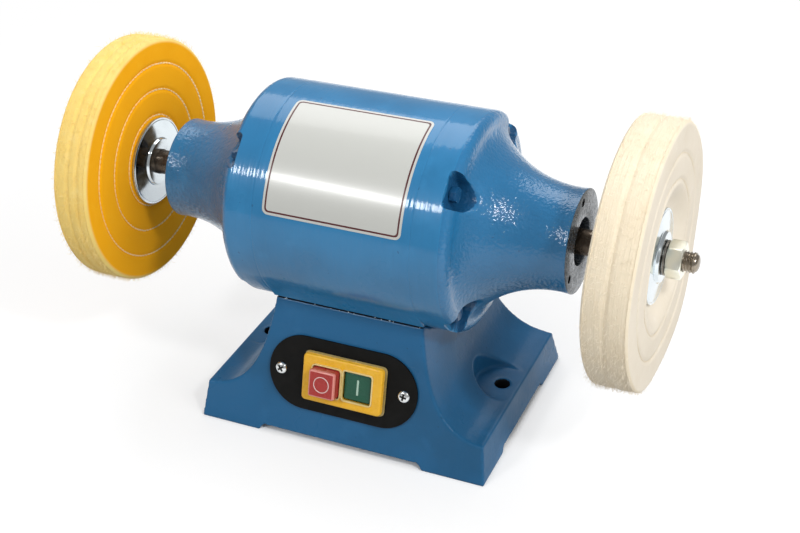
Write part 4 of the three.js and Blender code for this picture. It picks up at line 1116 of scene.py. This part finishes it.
def add_wheels():
    add_wheel(
        "left", LEFT_END, "orange_cloth", (ORANGE, ORANGE_RIM), THREAD_PALE, FLUFF_YELLOW,
        swell=(0.0, 5.6), seams=(28.9, 45, 61.2), valleys=(0.26, 0.58), thick=0.55,
    )
    add_wheel(
        "right", RIGHT_END, "cream_cloth", (CREAM, CREAM_RIM), THREAD_CREAM, FLUFF_CREAM,
        swell=(2.8, 6.2), seams=(44, 58.4), valleys=(0.49,), thick=0.22,
    )


# Label: a blank film on the barrel with a thin printed border
def on_barrel(x, along, lift):
    """A point on the barrel, by its distance round it from the label's lower edge."""
    turn = radians(LABEL_TURN[0]) + along / HOUSING_RADIUS
    radius = HOUSING_RADIUS + lift
    return (x, -radius * cos(turn), radius * sin(turn))


def border_line(draw):
    """The label's outline drawn in, with its long sides cut into short steps."""
    size = LABEL_LENGTH - 2 * draw, LABEL_HEIGHT - 2 * draw
    flat = np.array(rectangle(*size, LABEL_CORNER - draw * 0.6, 8))
    outline = flat + (sum(LABEL_X) / 2, LABEL_HEIGHT / 2)
    dense = []
    for point, after in zip(outline, np.roll(outline, -1, 0)):
        steps = max(1, int(hypot(*(after - point)) / 2.5))
        dense += [point + (after - point) * s / steps for s in range(steps)]
    return dense


def add_label():
    corner = LABEL_CORNER
    ends = [corner * (1 - cos(t)) for t in np.linspace(0, pi / 2, 8)[:-1]]
    middle = np.linspace(corner, LABEL_HEIGHT - corner, 34)
    rings = []
    for height in (*ends, *middle, *(LABEL_HEIGHT - end for end in reversed(ends))):
        into = max(0, corner - min(height, LABEL_HEIGHT - height))
        draw = corner - sqrt(max(0, corner ** 2 - into ** 2))
        across = np.linspace(LABEL_X[0] + draw, LABEL_X[1] - draw, 9)
        top = [on_barrel(x, height, FILM_TOP) for x in across]
        rings.append(top + [on_barrel(x, height, FILM_LOW) for x in across[::-1]])
    mount(loft("label_blank", rings), LABEL, "white_plastic", MOTOR)
    outer, inner = border_line(BORDER_OUTER), border_line(BORDER_INNER)
    section = ((outer, BORDER_LOW), (outer, BORDER_TOP), (inner, BORDER_TOP), (inner, BORDER_LOW))
    fewest = min(len(outer), len(inner))
    rings = [[on_barrel(x, y, lift) for x, y in line[:fewest]] for line, lift in section]
    mount(loft("label_border", rings, loop=True), LABEL_LINE, "white_plastic", MOTOR)


# Screws with domed and cross-slotted heads, along Z from their seats
def cross_screw(name, head_radius, head_height):
    dome = [
        (head_height * sin(t), head_radius * cos(t) ** 0.55)
        for t in np.radians([12, 30, 48, 64, 78])
    ]
    profile = [(-2, 0), (-2, head_radius * 0.5), (0, head_radius * 0.5), (0, head_radius)]
    head = upended(revolve(name, profile + dome + [(head_height, 0)], 48))
    slots = []
    for turn in (0.3, 0.3 + pi / 2):
        rings = []
        for z, share in ((head_height * 0.05, 0.45), (head_height + 1, 1.25)):
            x = head_radius * 0.6 * share
            y = head_radius * 0.17 * (0.7 + 0.3 * share)
            rings.append(level(oblong(-x, x, -y, y), z))
        slots.append(turned(loft("slot", rings), turn, "Z"))
    return clean(carve(head, *slots))


def add_cover_screws():
    for number in range(1, 5):
        node = f"base_cover_screw_{number}"
        low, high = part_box(node)
        middle = (low + high) / 2 / MM
        screw = turned(cross_screw(f"cover_screw_{number}", 3.6, 1.8), pi, "X")
        shifted(screw, middle.x, middle.y, low.z / MM + 1.8)
        mount(screw, ZINC, "zinc_plate", GROUND, node)


# Switch
def add_switch_plate():
    plate = slab("switch_panel", stadium(*PLATE), PLATE_LOW, PLATE_TOP, 0.35)
    carve(plate, shifted(window(0, 3), SWITCH_X))
    mount(clean(plate), BLACK_PLATE, "black_plastic", PANEL, "switch_plate")
    for side, word, turn in ((-1, "left", 0.35), (1, "right", 1.1)):
        middle = side * PLATE_SCREW_X
        screw = turned(cross_screw(f"panel_screw_{word}", 3.9, 2.0), turn, "Z")
        shifted(screw, middle, 0, PLATE_TOP + 0.05)

        def look(x, y, z, normal):
            # Faces in the slot and low on the head take the painted shade
            slotted = z < PLATE_TOP + 1.5 or abs(normal.z) < 0.5
            return slotted and hypot(x - middle, y) < 2.9

        node = f"switch_plate_screw_{word}"
        mount(screw, (SCREW, SLOT_SHADE), "zinc_plate", PANEL, node, choose=look)


def frame_slab(name, width, height, corner, levels):
    """A rounded rectangle over several levels of (height, how far it is drawn in)."""
    rings = []
    for z, draw in levels:
        size = width - 2 * draw, height - 2 * draw
        rings.append(level(rectangle(*size, max(corner - draw, 0.25), 8), z))
    return loft(name, rings)


def lip(name, size, corner, low, high, wall):
    """A thin raised rim round a square opening."""
    outer = np.array(rectangle(size + 2 * wall, size + 2 * wall, corner + wall))
    inner = np.array(rectangle(size, size, corner))
    section = rounded([(0, low), (0, high), (1, high), (1, low)], 0.35, 2)
    rings = [level(outer * (1 - share) + inner * share, z) for share, z in section]
    return loft(name, rings, loop=True)


def add_switch_frame():
    levels = [(3.2, 0.7), (3.6, 0.7), (3.7, 0.0), (4.3, 0.0), (4.4, 0.35), (4.6, 0.35), (4.7, 0.05)]
    levels += [(5.9, 0.2), (6.35, 0.4), (6.62, 0.75), (6.72, 1.2), (6.62, 2.6), (6.5, 4.2)]
    body = frame_slab("switch_bezel", *BEZEL, 3.0, levels)
    for x, size in ((STOP_X, STOP_SIZE + 1), (START_X, START_SIZE + 1)):
        opening = slab("window", rectangle(size, size, 2.1), 0, 9)
        carve(body, shifted(opening, x - SWITCH_X))
    body = shifted(clean(settle(soften(body, 0.25, 2, 50))), SWITCH_X)
    mount(body, YELLOW, "yellow_plastic", PANEL, "switch_frame")
    stop_lip = lip("stop_lip", STOP_SIZE + 0.9, 1.9, 5.4, 8.3, 0.75)
    start_lip = lip("start_lip", START_SIZE + 0.5, 1.7, 5.4, 7.2, 0.95)
    rims = merged("button_lips", [shifted(stop_lip, STOP_X), shifted(start_lip, START_X)])
    mount(rims, RIM_CLEAR, "yellow_plastic", PANEL)
    levels = [(2.05, 0.25), (2.15, 0), (2.45, 0), (2.55, 0.35), (2.7, 0.35), (2.8, 0.1)]
    levels.append((3.1, 0.15))
    seal = frame_slab("panel_seal", BEZEL[0] + 1.4, BEZEL[1] + 1.4, 3.4, levels)
    seal = shifted(clean(carve(seal, window(0, 4))), SWITCH_X + 0.2, -0.15)
    mount(seal, SEAL, "clear_seal", PANEL, "switch_gasket")


def add_button(word, x, size, front, looks, slot):
    low = SWITCH_BODY_TOP - 6
    levels = [(low, 0.4), (low + 0.4, 0.0)]
    crown = ((1.6, 0.1), (0.7, 0.2), (0.25, 0.45), (0.05, 0.8), (0, 1.2), (0.08, 2.4), (0.14, 4.5))
    levels += [(front - below, draw) for below, draw in crown]
    cap = frame_slab(f"{word}_key", size, size, 1.7, levels)
    piece = merged(f"{word}_key_cap", [cap, upended(rod(low - 4, low + 0.2, 1.8, 24))])

    def look(across, up, z, _):
        edge = max(abs(across - x), abs(up)) > size / 2 - 1.3
        return len(looks) > 1 and edge and z > front - 1.9

    piece = shifted(piece, x)
    mount(piece, looks, slot, PANEL, f"{word}_button", body=f"{word}_key", choose=look)


def add_buttons():
    add_button("stop", STOP_X, STOP_SIZE, STOP_FRONT, (RED, RED_RIM), "red_plastic")
    add_button("start", START_X, START_SIZE, START_FRONT, (GREEN,), "green_plastic")
    low, high = STOP_FRONT - 0.25, STOP_FRONT - 0.03
    ring = rounded([(low, 4.5), (low, 5.1), (high, 5.1), (high, 4.5)], 0.1, 1)
    zero = shifted(upended(revolve("stop_sign", ring, 48)), STOP_X)
    mount(zero, MARK, "red_plastic", PANEL, body="stop_key")
    bar = rectangle(1.25, 9.6, 0.3)
    one = shifted(slab("start_sign", bar, START_FRONT - 0.25, START_FRONT - 0.03, 0.05), START_X)
    mount(one, MARK_GREEN, "green_plastic", PANEL, body="start_key")


def add_inlet():
    """The cable's bush on the rear face."""
    profile = [(-14.3, 4.5), (-14.3, 7.7), (0.3, 7.7), (0.3, 11), (2.3, 11), (4.3, 8.6), (4.3, 4.5)]
    bush = upended(revolve("inlet_bush", rounded(profile, 0.7, 4), 64))
    mount(bush, BLACK, "black_plastic", INLET, "cable_inlet")


# CAD pieces that stay, with their edges eased and their own finish
def dress_inner_pieces():
    finishes = {
        "blue_enamel": BASE_ENAMEL, "shaft_steel": OILED, "zinc_plate": ZINC,
        "bearing_steel": BEARING, "lamination": LAMINATIONS, "copper_wire": COPPER,
        "cast_aluminium": ALUMINIUM, "black_plastic": BLACK, "white_plastic": WHITE,
    }
    for entry in frame["record"]["subparts"]:
        node = frame["nodes"][entry["node"]]
        if not node.hide_render and entry["material_slot"] in finishes:
            paint(node, finishes[entry["material_slot"]])
    for name in "base_cover_plate capacitor capacitor_clamp terminal_block cable_inlet_nut".split():
        soften(frame["nodes"][name], 0.3, 2)


def add_tie_ends():
    """Tie bolt heads and nuts, painted over with the castings, in the darker pocket enamel that is
    painted shade.
    """
    for number in range(1, 5):
        for kind in ("bolt", "nut"):
            paint(soften(frame["nodes"][f"tie_{kind}_{number}"], 1.1, 4), POCKET_SHADE_ENAMEL)


# Camera, floor and light
def add_camera():
    a, e, r = (radians(v) for v in (AZIMUTH, ELEVATION, ROLL))
    back = Vector((sin(a) * cos(e), -cos(a) * cos(e), sin(e)))
    right = Vector((cos(a), sin(a), 0))
    up = back.cross(right)
    side = cos(r) * right + sin(r) * up
    top = cos(r) * up - sin(r) * right
    place = (Vector(TARGET) + back * DISTANCE) * MM
    data = put(bpy.data.cameras.new("camera"), lens=LENS, sensor_width=SENSOR)
    camera = linked("camera", data)
    turn = Matrix((side, top, back)).transposed().to_4x4()
    camera.matrix_world = Matrix.Translation(place) @ turn
    bpy.context.scene.camera = camera


def add_floor():
    """White to the camera away from the foot, matte under it and close by."""
    half = FLOOR_HALF
    corners = [(-half, -half, 0), (half, -half, 0), (half, half, 0), (-half, half, 0)]
    floor = shape("floor", corners, [(0, 1, 2, 3)])
    material = bpy.data.materials.new("floor_white")
    tree = Tree(material)
    tree.nodes.remove(tree.nodes["Principled BSDF"])
    ray = tree.add("LightPath")
    place = tree.add("TexCoord")["Object"]
    foot = (1 / (BASE_HALF_LENGTH * MM), 1 / (BASE_HALF_DEPTH * MM), 0)
    across = tree.vector("MULTIPLY", tree.vector("ABSOLUTE", place)["Vector"], foot)["Vector"]
    sides = tree.add("SeparateXYZ", {"Vector": across})
    edge = tree.math("MAXIMUM", sides["X"], sides["Y"])
    beside = tree.spread(edge, *WHITE_START, curve="LINEAR")
    white = tree.math("MULTIPLY", beside, ray["Is Camera Ray"])
    rise = tree.spread(tree.vector("LENGTH", place)["Value"], *WHITE_RISE)
    seen = tree.math("MAXIMUM", ray["Is Camera Ray"], ray["Is Glossy Ray"])
    matte = tree.spread(seen, 0, 1, UNSEEN_FLOOR, 1.0, "LINEAR")
    mixed = tree.add("MixShader", {
        "Fac": tree.math("MULTIPLY", white, rise),
        1: tree.add("BsdfDiffuse", {"Color": matte})["BSDF"],
        2: tree.add("Emission", {"Strength": 1.0})["Emission"],
    })
    tree.feed(tree.nodes["Material Output"].inputs["Surface"], mixed["Shader"])
    floor.data.materials.append(material)


def add_world():
    """White all round: in full to the camera, less in reflections and as light."""
    world = bpy.data.worlds.new("studio")
    bpy.context.scene.world = world
    tree = Tree(world)
    background = tree.nodes["Background"].inputs
    ray = tree.add("LightPath")
    mirrored = tree.math("MAXIMUM", ray["Is Glossy Ray"], ray["Is Transmission Ray"])
    dim = tree.math("MULTIPLY", mirrored, REFLECTED)
    seen = tree.math("MAXIMUM", ray["Is Camera Ray"], dim)
    tree.feed(background["Color"], (1, 1, 1, 1))
    tree.feed(background["Strength"], tree.math("MAXIMUM", seen, AMBIENT))


def add_lamps():
    for name, (place, size, power, mirrored) in LAMPS.items():
        data = put(bpy.data.lights.new(name, "AREA"), shape="RECTANGLE", energy=power)
        data.size, data.size_y = (v * MM for v in size)
        lamp = linked(name, data)
        away = Vector(place) - Vector(LAMP_AIM)
        put(lamp, location=Vector(place) * MM, visible_glossy=mirrored)
        put(lamp, rotation_mode="QUATERNION", rotation_quaternion=away.to_track_quat("Z", "Y"))


add_camera()
add_housing()
add_seam_beads()
add_bells()
add_foot()
add_flecks()
add_shaft()
add_clamping()
add_wheels()
add_label()
add_switch_plate()
add_switch_frame()
add_buttons()
add_inlet()
add_cover_screws()
dress_inner_pieces()
add_tie_ends()
add_floor()
add_world()
add_lamps()
bpy.context.scene.view_settings.view_transform = "Standard"
